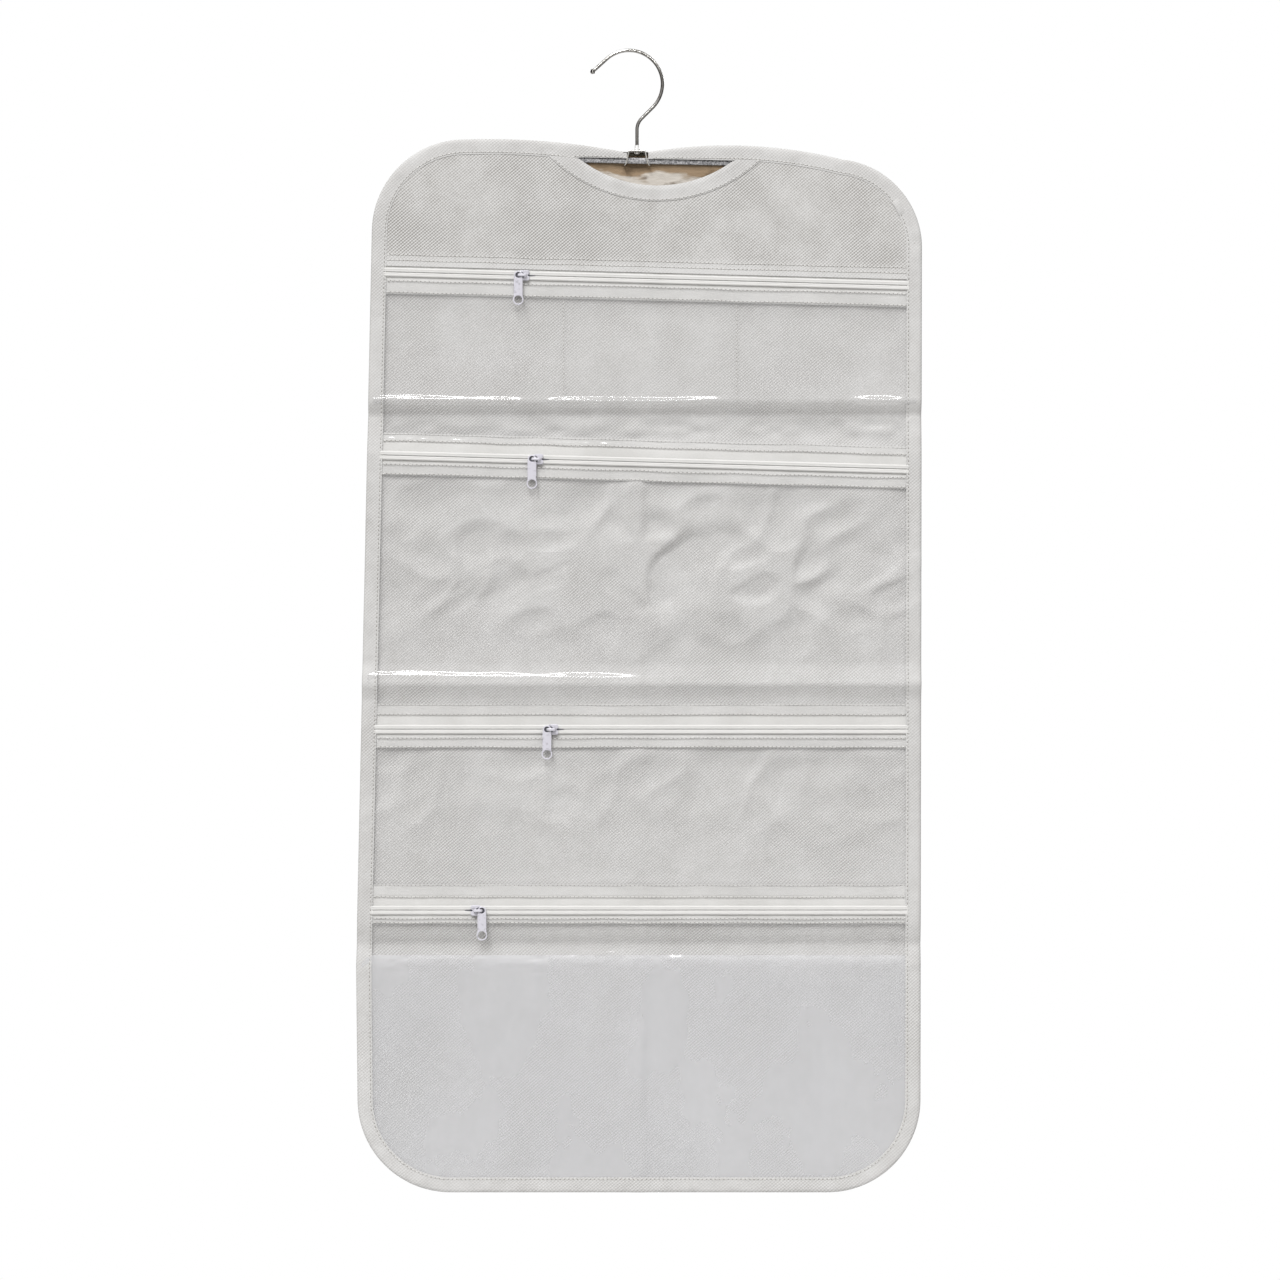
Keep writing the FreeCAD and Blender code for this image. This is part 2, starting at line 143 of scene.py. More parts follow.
class Paint:
    """One material's node tree, and the methods that fill it."""

    def __init__(self, name: str) -> None:
        """Starts an empty material.

        Args:
            name: The material's name.
        """
        self.material = bpy.data.materials.new(name)
        self.material.use_nodes = True
        self.tree = self.material.node_tree
        self.tree.nodes.clear()
        self.place = self.add("ShaderNodeTexCoord").outputs["Object"]
        axes = self.add("ShaderNodeSeparateXYZ", inputs={"Vector": self.place})
        self.x, self.y, self.z = (Value(self, socket) for socket in axes.outputs)

    def add(self, kind: str, settings: dict | None = None, inputs: dict | None = None) -> bpy.types.Node:
        """Adds a node.

        Args:
            kind: The node's type.
            settings: Its properties, set first.
            inputs: Values, sockets or Values for its inputs, by name or index.

        Returns:
            The node.
        """
        node = self.tree.nodes.new(kind)
        for name, value in (settings or {}).items():
            setattr(node, name, value)
        for name, value in (inputs or {}).items():
            socket = value.socket if isinstance(value, Value) else value
            if isinstance(socket, bpy.types.NodeSocket):
                self.tree.links.new(socket, node.inputs[name])
            else:
                node.inputs[name].default_value = socket
        return node

    def math(self, operation: str, *values: "Value | float") -> Value:
        """A Math node on one or two values."""
        inputs = dict(enumerate(values))
        return Value(self, self.add("ShaderNodeMath", {"operation": operation}, inputs).outputs[0])

    def noise(self, scale: float, detail: float = 2.0, stretch: tuple = (1, 1, 1)) -> Value:
        """A noise from 0 to 1.

        Args:
            scale: How many lumps there are in a metre.
            detail: How many finer layers it has.
            stretch: How much closer the lumps are along each axis.

        Returns:
            The noise.
        """
        vector = self.add("ShaderNodeMapping", inputs={"Vector": self.place, "Scale": stretch})
        inputs = {"Vector": vector.outputs[0], "Scale": scale, "Detail": detail}
        return Value(self, self.add("ShaderNodeTexNoise", inputs=inputs).outputs["Fac"])

    def blend(self, share: Value, first: tuple, second: tuple) -> bpy.types.NodeSocket:
        """A colour between two, by a share from 0 to 1.

        Args:
            share: 0 for the first colour and 1 for the second.
            first: A colour.
            second: Another colour.

        Returns:
            The colour's socket.
        """
        mix = self.add("ShaderNodeMix", {"data_type": "RGBA", "clamp_factor": True},
                       {0: share, 6: (*first, 1), 7: (*second, 1)})
        return mix.outputs[2]

    def relief(self, height: Value, distance: float, strength: float = 1.0) -> bpy.types.NodeSocket:
        """A normal from a height, which counts in units of a distance in metres."""
        inputs = {"Height": height, "Distance": distance, "Strength": strength}
        return self.add("ShaderNodeBump", inputs=inputs).outputs["Normal"]

    def finish(self, shader: bpy.types.Node) -> bpy.types.Material:
        """Links a shader to the output and returns the material."""
        self.add("ShaderNodeOutputMaterial", inputs={"Surface": shader.outputs[0]})
        return self.material

    def surface(self, inputs: dict) -> bpy.types.Node:
        """A Principled shader with these inputs."""
        return self.add("ShaderNodeBsdfPrincipled", inputs=inputs)


@dataclass(frozen=True)
class Finish:
    """A surface finish. Each kind below paints its own material."""

    name: str
    slot: str

    def paint(self) -> bpy.types.Material:
        """Makes the material."""
        raise NotImplementedError

    def material(self) -> bpy.types.Material:
        """The finish's material, made the first time that it is asked for."""
        return bpy.data.materials.get(self.name) or self.paint()


@dataclass(frozen=True)
class EmbossedCloth(Finish):
    """Nonwoven cloth, bonded by two crossed sets of fine diagonal ribs, one stronger than the other."""

    light: tuple = (0.66, 0.657, 0.655)
    dark: tuple = (0.38, 0.366, 0.35)
    pitch: float = 1.7 * MM
    depth: float = 0.14 * MM
    contrast: float = 1.35
    # Below this height, by a zip, the cloth is drawn flat and painted lighter as painted light, over a soft
    # step that follows the zip's slope.
    taut_below: float = -10.0
    taut_step: float = 12 * MM
    taut_slope: float = 0.026

    def paint(self) -> bpy.types.Material:
        """Crossed ribs, loose fibres and a faint mottling, all fainter where a zip draws the cloth flat, and
        lighter there as painted light.

        Returns:
            The material.
        """
        paint = Paint(self.name)
        turn = 2 * math.pi / self.pitch
        strong = ((paint.x * 0.65 - paint.z * 0.76) * turn).sine()
        weak = ((paint.x * 0.69 + paint.z * 0.72) * turn).sine()
        wear = paint.noise(11, 2.0)
        taut_and_lit = (paint.x * -self.taut_slope - paint.z).above(-self.taut_below, self.taut_step)
        pressed = (strong * 0.3 + weak * 0.16) * (wear * 2.6 - 0.3) * (1 - taut_and_lit * 0.6)
        fibres = paint.noise(1300, 3.0)
        mottling = paint.noise(45, 3.0)
        patches = paint.noise(160, 2.0)
        # Painted light: the colour is lighter where a zip draws the cloth flat.
        shade = ((pressed + (fibres - 0.5) * 0.7) * self.contrast + (mottling - 0.5) * 0.55
                 + (wear - 0.5) * 0.35 + (patches - 0.5) * 0.3 + 0.4 - taut_and_lit * 0.4)
        height = fibres * 0.35 - pressed * self.contrast
        return paint.finish(paint.surface({
            "Base Color": paint.blend(shade, self.light, self.dark),
            "Roughness": 0.86 - pressed * 0.16,
            "Normal": paint.relief(height, self.depth),
            "Sheen Weight": 0.08,
        }))


@dataclass(frozen=True)
class TanShadeSheet(Finish):
    """A tan sheet whose tan deepens towards the top, by the bar, and darkens down in its folds: both are
    painted shade, with warm bounce light, for the inside of the header.
    """

    unshaded: tuple = (0.56, 0.52, 0.47)
    light: tuple = (0.29, 0.205, 0.125)
    dark: tuple = (0.09, 0.055, 0.025)
    # The height from which the painted shade of the tan grows upwards.
    height: float = -87 * MM

    def paint(self) -> bpy.types.Material:
        """Streaks of deeper tan over paler cloth, as painted shade that grows towards the top, and painted
        shade down in the folds, with fine threads.

        Returns:
            The material.
        """
        paint = Paint(self.name)
        # Painted shade: the tan deepens towards the top, under the bar.
        streaks = paint.noise(60, 4.0, (0.45, 1, 1.2)) * 1.5 + (paint.z - self.height) * 30 - 0.25
        folds = paint.noise(190, 3.0, (0.6, 1, 1.2))
        threads = (paint.x * 5200).sine() * (paint.z * 5200).sine()
        streaked_shade = paint.blend(streaks.above(0.5, 0.16), self.unshaded, self.light)
        # Painted shade: the folds are darkened towards the dark colour.
        fold_shade = paint.add("ShaderNodeMix", {"data_type": "RGBA", "clamp_factor": True},
                         {0: folds.above(0.66, 0.3) * 0.75, 6: streaked_shade, 7: (*self.dark, 1)})
        return paint.finish(paint.surface({
            "Base Color": fold_shade.outputs[2],
            "Roughness": 0.75 + threads * 0.1,
            "Normal": paint.relief(folds * 4 + threads * 0.3, 0.3 * MM),
        }))


@dataclass(frozen=True)
class WovenTape(Finish):
    """A narrow woven tape: fine ribs across, threads along."""

    light: tuple = (0.68, 0.675, 0.665)
    dark: tuple = (0.50, 0.495, 0.48)
    pitch: float = 0.75 * MM
    depth: float = 0.08 * MM

    def paint(self) -> bpy.types.Material:
        """Two crossed waves for the threads, with uneven yarn and some soiling.

        Returns:
            The material.
        """
        paint = Paint(self.name)
        turn = 2 * math.pi / self.pitch
        threads = (paint.x * turn).sine() * ((paint.z + paint.y) * turn).sine()
        yarn = paint.noise(700, 3.0, (1, 1, 3))
        soil = paint.noise(30, 3.0)
        shade = threads * 0.22 + yarn * 0.5 + (soil - 0.5) * 1.3 + 0.05
        return paint.finish(paint.surface({
            "Base Color": paint.blend(shade, self.light, self.dark),
            "Roughness": 0.72 + yarn * 0.2,
            "Normal": paint.relief(threads * 0.5 + yarn, self.depth),
            "Sheen Weight": 0.05,
        }))


@dataclass(frozen=True)
class ClearVinyl(Finish):
    """Soft clear sheet that shows the cloth behind it and catches the light."""

    haze: float = 0.10
    shine: float = 0.03
    skin: tuple = (0.9, 0.9, 0.91)

    def paint(self) -> bpy.types.Material:
        """A clear sheet with a glossy skin, uneven haze and fine ripples.

        Returns:
            The material.
        """
        paint = Paint(self.name)
        ripples = paint.noise(60, 2.0, (1, 1, 2.2))
        smears = paint.noise(17, 4.0, (1, 1, 0.6))
        normal = paint.relief(ripples, 0.08 * MM)
        facing = paint.add("ShaderNodeLayerWeight", inputs={"Blend": 0.5, "Normal": normal})
        gloss = Value(paint, facing.outputs["Facing"]) ** 5 * (1 - self.shine) + self.shine
        skin = paint.surface({
            "Base Color": (*self.skin, 1),
            "Roughness": 0.07 + smears * 0.08,
            "Specular IOR Level": 1.0,
            "Normal": normal,
        })
        mirror = paint.surface({
            "Base Color": (0.96, 0.96, 0.96, 1),
            "Metallic": 1.0,
            "Roughness": 0.05 + smears * 0.06,
            "Normal": paint.relief(ripples, 0.03 * MM),
        })
        clear = paint.add("ShaderNodeBsdfTransparent", inputs={"Color": (0.995, 0.995, 0.995, 1)})
        hazy = paint.add("ShaderNodeMixShader", inputs={
            0: self.haze * (0.5 + smears), 1: clear.outputs[0], 2: skin.outputs[0]})
        sheet = paint.add("ShaderNodeMixShader", inputs={
            0: gloss, 1: hazy.outputs[0], 2: mirror.outputs[0]})
        return paint.finish(sheet)


@dataclass(frozen=True)
class MouldedCoil(Finish):
    """The smooth nylon of a zip's chain."""

    light: tuple = (0.74, 0.735, 0.725)
    dark: tuple = (0.60, 0.595, 0.58)
    pitch: float = 0.8 * MM

    def paint(self) -> bpy.types.Material:
        """Turns of the coil showing through as ribs, with a soft gloss.

        Returns:
            The material.
        """
        paint = Paint(self.name)
        ribs = (paint.x * (2 * math.pi / self.pitch)).sine()
        soil = paint.noise(60, 3.0)
        return paint.finish(paint.surface({
            "Base Color": paint.blend(soil * 0.7 + ribs * 0.1, self.light, self.dark),
            "Roughness": 0.38 + soil * 0.2,
            "Normal": paint.relief(ribs, 0.05 * MM),
        }))


@dataclass(frozen=True)
class Enamel(Finish):
    """Painted die-cast metal, with the paint thinner in places."""

    light: tuple = (0.60, 0.59, 0.65)
    dark: tuple = (0.38, 0.37, 0.41)

    def paint(self) -> bpy.types.Material:
        """Glossy paint with an orange-peel skin and a few dull patches.

        Returns:
            The material.
        """
        paint = Paint(self.name)
        peel = paint.noise(2600, 2.0)
        patches = paint.noise(420, 3.0)
        return paint.finish(paint.surface({
            "Base Color": paint.blend(patches.above(0.62, 0.25) * 0.8, self.light, self.dark),
            "Roughness": 0.24 + patches * 0.25,
            "Metallic": patches.above(0.7, 0.2) * 0.6,
            "Normal": paint.relief(peel, 0.03 * MM),
            "Coat Weight": 0.3,
            "Coat Roughness": 0.15,
        }))


@dataclass(frozen=True)
class BrightSteel(Finish):
    """Drawn or stamped steel with a bright plating."""

    light: tuple = (0.56, 0.55, 0.53)
    dark: tuple = (0.20, 0.19, 0.175)
    grain: tuple = (1, 1, 0.15)

    def paint(self) -> bpy.types.Material:
        """Plating with draw lines, a little tarnish and small pits.

        Returns:
            The material.
        """
        paint = Paint(self.name)
        lines = paint.noise(1400, 3.0, self.grain)
        tarnish = paint.noise(150, 3.0)
        return paint.finish(paint.surface({
            "Base Color": paint.blend(tarnish.above(0.55, 0.4) * 0.7 + lines * 0.2, self.light, self.dark),
            "Metallic": 1.0,
            "Roughness": 0.12 + lines * 0.14,
            "Normal": paint.relief(lines, 0.004 * MM),
        }))


@dataclass(frozen=True)
class Galvanised(Finish):
    """Zinc-coated bar steel, speckled light and dark."""

    light: tuple = (0.56, 0.56, 0.57)
    dark: tuple = (0.09, 0.09, 0.10)

    def paint(self) -> bpy.types.Material:
        """Spangles of zinc, with dark pits between them.

        Returns:
            The material.
        """
        paint = Paint(self.name)
        cells = paint.add("ShaderNodeTexVoronoi", inputs={"Vector": paint.place, "Scale": 900.0})
        spangles = Value(paint, paint.add("ShaderNodeSeparateColor",
                                          inputs={0: cells.outputs["Color"]}).outputs[0])
        pits = paint.noise(1100, 3.0)
        return paint.finish(paint.surface({
            "Base Color": paint.blend(spangles * 0.55 + pits.above(0.5, 0.2) * 0.5, self.light, self.dark),
            "Metallic": 0.6,
            "Roughness": 0.35 + pits * 0.35,
            "Normal": paint.relief(pits, 0.08 * MM),
        }))


@dataclass(frozen=True)
class Thread(Finish):
    """Sewing thread."""

    light: tuple = (0.74, 0.735, 0.72)
    dark: tuple = (0.50, 0.49, 0.47)

    def paint(self) -> bpy.types.Material:
        """Twisted plies, seen as fine slanted bands.

        Returns:
            The material.
        """
        paint = Paint(self.name)
        plies = ((paint.x + paint.z) * (2 * math.pi / (0.45 * MM))).sine()
        fuzz = paint.noise(900, 2.0)
        return paint.finish(paint.surface({
            "Base Color": paint.blend(plies * 0.3 + fuzz * 0.6, self.light, self.dark),
            "Roughness": 0.55 + fuzz * 0.2,
            "Normal": paint.relief(plies, 0.04 * MM),
        }))


@dataclass(frozen=True)
class StudioFloor(Finish):
    """The pale floor under the object, which isn't part of it."""

    light: tuple = (0.82, 0.82, 0.82)
    dark: tuple = (0.76, 0.76, 0.76)

    def paint(self) -> bpy.types.Material:
        """A matt painted floor with a faint unevenness.

        Returns:
            The material.
        """
        paint = Paint(self.name)
        cloud = paint.noise(3, 3.0)
        return paint.finish(paint.surface({
            "Base Color": paint.blend(cloud, self.light, self.dark),
            "Roughness": 0.7,
        }))


CLOTH = EmbossedCloth("panel cloth", "panel_cloth")
# A darker copy of the panel cloth: painted shade that sets the header's front cloth darker than the cloth
# seen through the pockets.
FRONT_CLOTH = EmbossedCloth("front cloth", "panel_cloth", (0.61, 0.607, 0.602), (0.30, 0.288, 0.272),
                            contrast=1.5, taut_below=-147 * MM)
BINDING = EmbossedCloth("binding cloth", "binding_cloth", (0.63, 0.628, 0.625), (0.40, 0.39, 0.38),
                        contrast=0.75)
# A tan sheet whose colour paints the shade and warm bounce light inside the header.
SHADE_SHEET = TanShadeSheet("tan lining", "panel_cloth")
TAPE = WovenTape("zip tape", "zip_tape")
COIL = MouldedCoil("zip coil", "zip_coil")
VINYL = ClearVinyl("clear vinyl", "clear_vinyl")
MILKY_VINYL = ClearVinyl("milky vinyl", "clear_vinyl", 0.32, 0.03, (0.78, 0.785, 0.81))
ENAMEL = Enamel("lilac enamel", "zip_metal")
# Painted shade: near-black enamel for the shade under the pull's eye and in the slider's nose.
SLIDER_SHADE = Enamel("rubbed metal", "zip_metal", (0.10, 0.10, 0.12), (0.035, 0.035, 0.045))
WIRE = BrightSteel("bright wire", "chrome_wire")
STRIP = BrightSteel("bright strip", "bracket_steel", (0.96, 0.95, 0.92), (0.62, 0.61, 0.55), (1, 0.15, 1))
# Painted shade: near-black steel for the plate that darkens the hollow under the bracket's web.
SHADED = BrightSteel("dull strip", "bracket_steel", (0.13, 0.125, 0.10), (0.04, 0.04, 0.03), (1, 0.15, 1))
COLLAR = Enamel("white collar", "collar_metal", (0.72, 0.72, 0.72), (0.5, 0.5, 0.5))
BAR = Galvanised("zinc bar", "bar_steel")
THREAD = Thread("thread", "binding_cloth")
# Painted shade: dark lozenges at the needle holes between stitches.
HOLE_SHADE = Thread("needle hole", "binding_cloth", (0.30, 0.28, 0.255), (0.17, 0.155, 0.14))
FLOOR = StudioFloor("floor", "")
BOARD = StudioFloor("dark board", "", (0.05, 0.05, 0.05), (0.03, 0.03, 0.03))


# --------------------------------------------------------------------------------------- mesh tools


class Angle(Enum):
    """How far apart two faces may lean and still look like one smooth surface."""

    CLOTH = math.radians(80)
    METAL = math.radians(35)


def only(*objects: bpy.types.Object) -> None:
    """Selects these objects and nothing else, with the first one active.

    Args:
        objects: The objects.
    """
    bpy.ops.object.select_all(action="DESELECT")
    for thing in objects:
        thing.select_set(True)
    bpy.context.view_layer.objects.active = objects[0]


def points_of(thing: bpy.types.Object) -> Array:
    """A mesh's points as an array of three columns.

    Args:
        thing: The piece.

    Returns:
        The points, one to a row.
    """
    found = np.empty(len(thing.data.vertices) * 3)
    thing.data.vertices.foreach_get("co", found)
    return found.reshape(-1, 3)


def set_points(thing: bpy.types.Object, places: Array) -> None:
    """Moves a mesh's points."""
    thing.data.vertices.foreach_set("co", places.astype(float).ravel())
    thing.data.update()


def grid(name: str, columns: int, rows: int, place: Place) -> bpy.types.Object:
    """A sheet of quads laid where a function says, facing the front.

    Args:
        name: The piece's name.
        columns: How many quads it has across.
        rows: How many it has down.
        place: Gives x, y and z for u, from left to right, and v, from top to bottom.

    Returns:
        The sheet, one layer thick.
    """
    bpy.ops.object.select_all(action="DESELECT")
    bpy.ops.mesh.primitive_grid_add(x_subdivisions=columns, y_subdivisions=rows, size=1)
    sheet = bpy.context.active_object
    sheet.name = name
    start = points_of(sheet)
    set_points(sheet, np.column_stack(place(start[:, 0] + 0.5, 0.5 - start[:, 1])))
    return sheet


def face_corners(thing: bpy.types.Object) -> Array:
    """The point numbers of a mesh of quads, four to a row.

    Args:
        thing: A mesh of quads.

    Returns:
        The numbers.
    """
    corners = np.empty(len(thing.data.polygons) * 4, int)
    thing.data.polygons.foreach_get("vertices", corners)
    return corners.reshape(-1, 4)


def in_edit_mode(thing: bpy.types.Object, operator: Callable, **settings: object) -> None:
    """Runs an edit-mode operator on the whole of a piece.

    Args:
        thing: The piece.
        operator: The operator from bpy.ops.
        settings: What the operator is given.
    """
    only(thing)
    bpy.ops.object.mode_set(mode="EDIT")
    bpy.ops.mesh.select_all(action="SELECT")
    operator(**settings)
    bpy.ops.object.mode_set(mode="OBJECT")


def drop_faces(thing: bpy.types.Object, gone: Array) -> None:
    """Deletes the faces for which gone is true, and the points that only they used.

    Args:
        thing: The piece.
        gone: True for each face to delete.
    """
    mesh = thing.data
    only(thing)
    mesh.vertices.foreach_set("select", np.zeros(len(mesh.vertices), bool))
    mesh.edges.foreach_set("select", np.zeros(len(mesh.edges), bool))
    mesh.polygons.foreach_set("select", gone.astype(bool))
    bpy.ops.object.mode_set(mode="EDIT")
    bpy.ops.mesh.select_mode(type="FACE")
    bpy.ops.mesh.delete(type="FACE")
    bpy.ops.object.mode_set(mode="OBJECT")


def apply(thing: bpy.types.Object, kind: str, **settings: object) -> None:
    """Adds a modifier with these settings and applies it.

    Args:
        thing: The piece.
        kind: The modifier's type.
        settings: The modifier's settings.
    """
    only(thing)
    modifier = thing.modifiers.new(kind.lower(), kind)
    for name, value in settings.items():
        setattr(modifier, name, value)
    bpy.ops.object.modifier_apply(modifier=modifier.name)


def thicken(thing: bpy.types.Object, thickness: float, offset: float = 0.0) -> None:
    """Gives a sheet its thickness. An offset of -1 keeps its own faces as the outer ones."""
    apply(thing, "SOLIDIFY", thickness=thickness, offset=offset, use_even_offset=False)


def dress(thing: bpy.types.Object, finish: Finish, angle: Angle = Angle.CLOTH) -> bpy.types.Object:
    """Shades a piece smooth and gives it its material.

    Args:
        thing: The piece.
        finish: Its finish.
        angle: Up to which lean its faces are shaded as one.

    Returns:
        The piece.
    """
    only(thing)
    bpy.ops.object.shade_smooth_by_angle(angle=angle.value)
    thing.data.materials.clear()
    thing.data.materials.append(finish.material())
    return thing


def report(thing: bpy.types.Object) -> None:
    """Logs a finished piece."""
    LOG.info("%s: %d faces", thing.name, len(thing.data.polygons))


def ride(thing: bpy.types.Object, body: str, *nodes: str) -> bpy.types.Object:
    """Lets a piece ride on a body in place of these CAD nodes.

    Args:
        thing: The piece.
        body: The body that carries it.
        nodes: The CAD nodes that it stands in for.

    Returns:
        The piece.
    """
    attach(thing, body)
    if nodes:
        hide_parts(*nodes)
    report(thing)
    return thing


def join(name: str, parts: Sequence[bpy.types.Object]) -> bpy.types.Object:
    """Joins meshes into one object.

    Args:
        name: The joined object's name.
        parts: The meshes.

    Returns:
        The joined object.
    """
    only(*parts)
    bpy.ops.object.join()
    parts[0].name = name
    return parts[0]


def tube(name: str, path: Sequence[tuple], radius: float, sides: int = 6) -> bpy.types.Object:
    """A round wire along a path, with closed ends.

    Args:
        name: The piece's name.
        path: The points that it follows.
        radius: The wire's radius.
        sides: Half of the corners of its section, less two.

    Returns:
        The wire as a mesh.
    """
    curve = bpy.data.curves.new(name, "CURVE")
    curve.dimensions = "3D"
    curve.bevel_depth = radius
    curve.bevel_resolution = sides
    curve.use_fill_caps = True
    spline = curve.splines.new("POLY")
    spline.points.add(len(path) - 1)
    for spot, place in zip(spline.points, path):
        spot.co = (*place, 1)
    wire = bpy.data.objects.new(name, curve)
    bpy.context.scene.collection.objects.link(wire)
    only(wire)
    bpy.ops.object.convert(target="MESH")
    return wire


def plate(name: str, outlines: Sequence[Sequence[tuple]], front: float, back: float,
          edge: float) -> bpy.types.Object:
    """A flat plate with rounded edges, cut to outlines seen from the front.

    Args:
        name: The piece's name.
        outlines: Its outer outline, then its holes, each a list of x and z.
        front: The y of its front face.
        back: The y of its back face.
        edge: The radius that its edges are rounded to.

    Returns:
        The plate as a mesh.
    """
    curve = bpy.data.curves.new(name, "CURVE")
    curve.dimensions = "2D"
    curve.fill_mode = "BOTH"
    curve.extrude = (back - front) / 2 - edge
    curve.bevel_depth = edge
    curve.bevel_resolution = 2
    curve.offset = -edge
    for outline in outlines:
        spline = curve.splines.new("POLY")
        spline.points.add(len(outline) - 1)
        for spot, (x, z) in zip(spline.points, outline):
            spot.co = (x, z, 0, 1)
        spline.use_cyclic_u = True
    flat = bpy.data.objects.new(name, curve)
    bpy.context.scene.collection.objects.link(flat)
    only(flat)
    bpy.ops.object.convert(target="MESH")
    places = points_of(flat)
    set_points(flat, np.column_stack([places[:, 0], (front + back) / 2 - places[:, 2], places[:, 1]]))
    apply(flat, "WELD", merge_threshold=0.01 * MM)
    return flat


def arc(centre: tuple, radius: float, first: float, last: float, count: int = 16) -> list[tuple]:
    """Points on a circle in x and z, from one angle to another in degrees."""
    angles = np.radians(np.linspace(first, last, count))
    return [(centre[0] + radius * math.cos(a), centre[1] + radius * math.sin(a)) for a in angles]


def arc_through(first: tuple, middle: tuple, last: tuple, count: int = 40) -> list[tuple]:
    """Points on the circle through three points, from the first to the last.

    Args:
        first: Where it starts.
        middle: A point on the way.
        last: Where it ends.
        count: How many points it has.

    Returns:
        The points as x and z.
    """
    (ax, az), (bx, bz), (cx, cz) = first, middle, last
    scale = 2 * (ax * (bz - cz) + bx * (cz - az) + cx * (az - bz))
    a2, b2, c2 = ax * ax + az * az, bx * bx + bz * bz, cx * cx + cz * cz
    x = (a2 * (bz - cz) + b2 * (cz - az) + c2 * (az - bz)) / scale
    z = (a2 * (cx - bx) + b2 * (ax - cx) + c2 * (bx - ax)) / scale
    start, via, end = (math.degrees(math.atan2(pz - z, px - x)) for px, pz in (first, middle, last))
    turn = (end - start) % 360
    if (via - start) % 360 > turn:
        turn -= 360
    return arc((x, z), math.hypot(ax - x, az - z), start, start + turn, count)


def lumps(x: Array, z: Array, width: float, height: float, seed: int) -> Array:
    """Smooth noise from -1 to 1, with lumps of one size, the same on each run.

    Args:
        x: Places across, seen from the front.
        z: Heights.
        width: How wide a lump is.
        height: How tall a lump is.
        seed: Which noise it is.

    Returns:
        The noise at each place.
    """
    lattice = np.random.default_rng(seed).uniform(-1, 1, (64, 64))
    u, v = x / width + 31.7, z / height + 17.3
    i, j = np.floor(u).astype(int), np.floor(v).astype(int)
    s, t = u - i, v - j
    s, t = s * s * (3 - 2 * s), t * t * (3 - 2 * t)
    corner = [lattice[(i + di) % 64, (j + dj) % 64] for di in (0, 1) for dj in (0, 1)]
    return (corner[0] * (1 - t) + corner[1] * t) * (1 - s) + (corner[2] * (1 - t) + corner[3] * t) * s


def layered(x: Array, z: Array, *layers: tuple) -> Array:
    """Sums of lumps, each given by its share, its width and height in mm, and its seed."""
    return sum(share * lumps(x, z, width * MM, height * MM, seed) for share, width, height, seed in layers)


def travelled(line: Array) -> Array:
    """How far along a line each of its points lies."""
    return np.concatenate([[0], np.cumsum(np.linalg.norm(np.diff(line, axis=0), axis=1))])


def bump(distance: Array, width: float) -> Array:
    """A bell that is 1 at no distance and falls to almost 0 at twice the width."""
    return np.exp(-((distance / width) ** 2))


# ---------------------------------------------------------------------------------------- the cloth


@dataclass(frozen=True)
class Layer:
    """Where the middle of each layer lies in y."""

    front_cloth: float = -1.9 * MM
    vinyl: float = -1.95 * MM
    tape: float = -1.25 * MM
    chain: float = -1.6 * MM
    back_cloth: float = 1.8 * MM


LAYER = Layer()


@dataclass(frozen=True)
class Crease:
    """A fold line in the cloth. A positive depth goes to the back, as in a valley."""

    z: float
    depth: float
    above: float
    below: float

    def relief(self, z: Array) -> Array:
        """How far the cloth is pushed back at each height.

        Args:
            z: Heights.

        Returns:
            The push at each height.
        """
        side = np.where(z > self.z, self.above, self.below)
        lean = np.clip(1 - np.abs(z - self.z) / side, 0, 1)
        return self.depth * lean * (0.75 + 0.25 * lean)


@dataclass(frozen=True)
class ZipLine:
    """Where a zip lies: a line across the cloth that may slope."""

    number: int
    body: str
    above: float
    below: float

    @property
    def slope(self) -> float:
        """The line's rise for each metre to the right."""
        axis = JOINTS[f"zip_{self.number}_travel"]["axis"]
        return axis[2] / axis[0]

    @property
    def slider(self) -> Vector:
        """The middle of the zip's slider."""
        low, high = box(f"zipper_{self.number}_slider")
        return (low + high) / 2

    def height(self, x: Array | float) -> Array | float:
        """The chain's height at a given x."""
        return self.slider.z + self.slope * (x - self.slider.x)


ZIPS = (
    ZipLine(1, "header", 15 * MM, 15 * MM),
    ZipLine(2, "upper_panel", 16 * MM, 13.5 * MM),
    ZipLine(3, "lower_panel", 18 * MM, 13 * MM),
    ZipLine(4, "lower_panel", 18 * MM, 9.5 * MM),
)


def box(node: str) -> tuple[Vector, Vector]:
    """The low and high corners of a CAD node's box."""
    low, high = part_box(node)
    return Vector(low), Vector(high)


def joint_height(name: str) -> float:
    """The height of a fold's axis."""
    return JOINTS[name]["pos_m"][2]


VALLEY_1 = (joint_height("fold_1") + joint_height("fold_1_lower")) / 2
MOUNTAIN = joint_height("fold_2")
VALLEY_3 = joint_height("fold_3") + 1 * MM
CREASES = (
    Crease(VALLEY_1 + 1.6 * MM, 3.6 * MM, 9.5 * MM, 27 * MM),
    Crease(MOUNTAIN, -2.9 * MM, 14 * MM, 10 * MM),
    Crease(VALLEY_3, 2.8 * MM, 15 * MM, 14 * MM),
)
MIDDLE_X = (CAD_BOX[0].x + CAD_BOX[1].x) / 2
WIDE = CAD_BOX[1].x - CAD_BOX[0].x


def calm(x: Array, z: Array) -> Array:
    """1 over open cloth, and almost 0 along the zips, which hold the cloth flat.

    Args:
        x: Places across, seen from the front.
        z: Heights.

    Returns:
        The share at each place.
    """
    share = np.ones_like(x)
    for line in ZIPS:
        share = share * (1 - 0.93 * bump(z - line.height(x), 13 * MM))
    return share


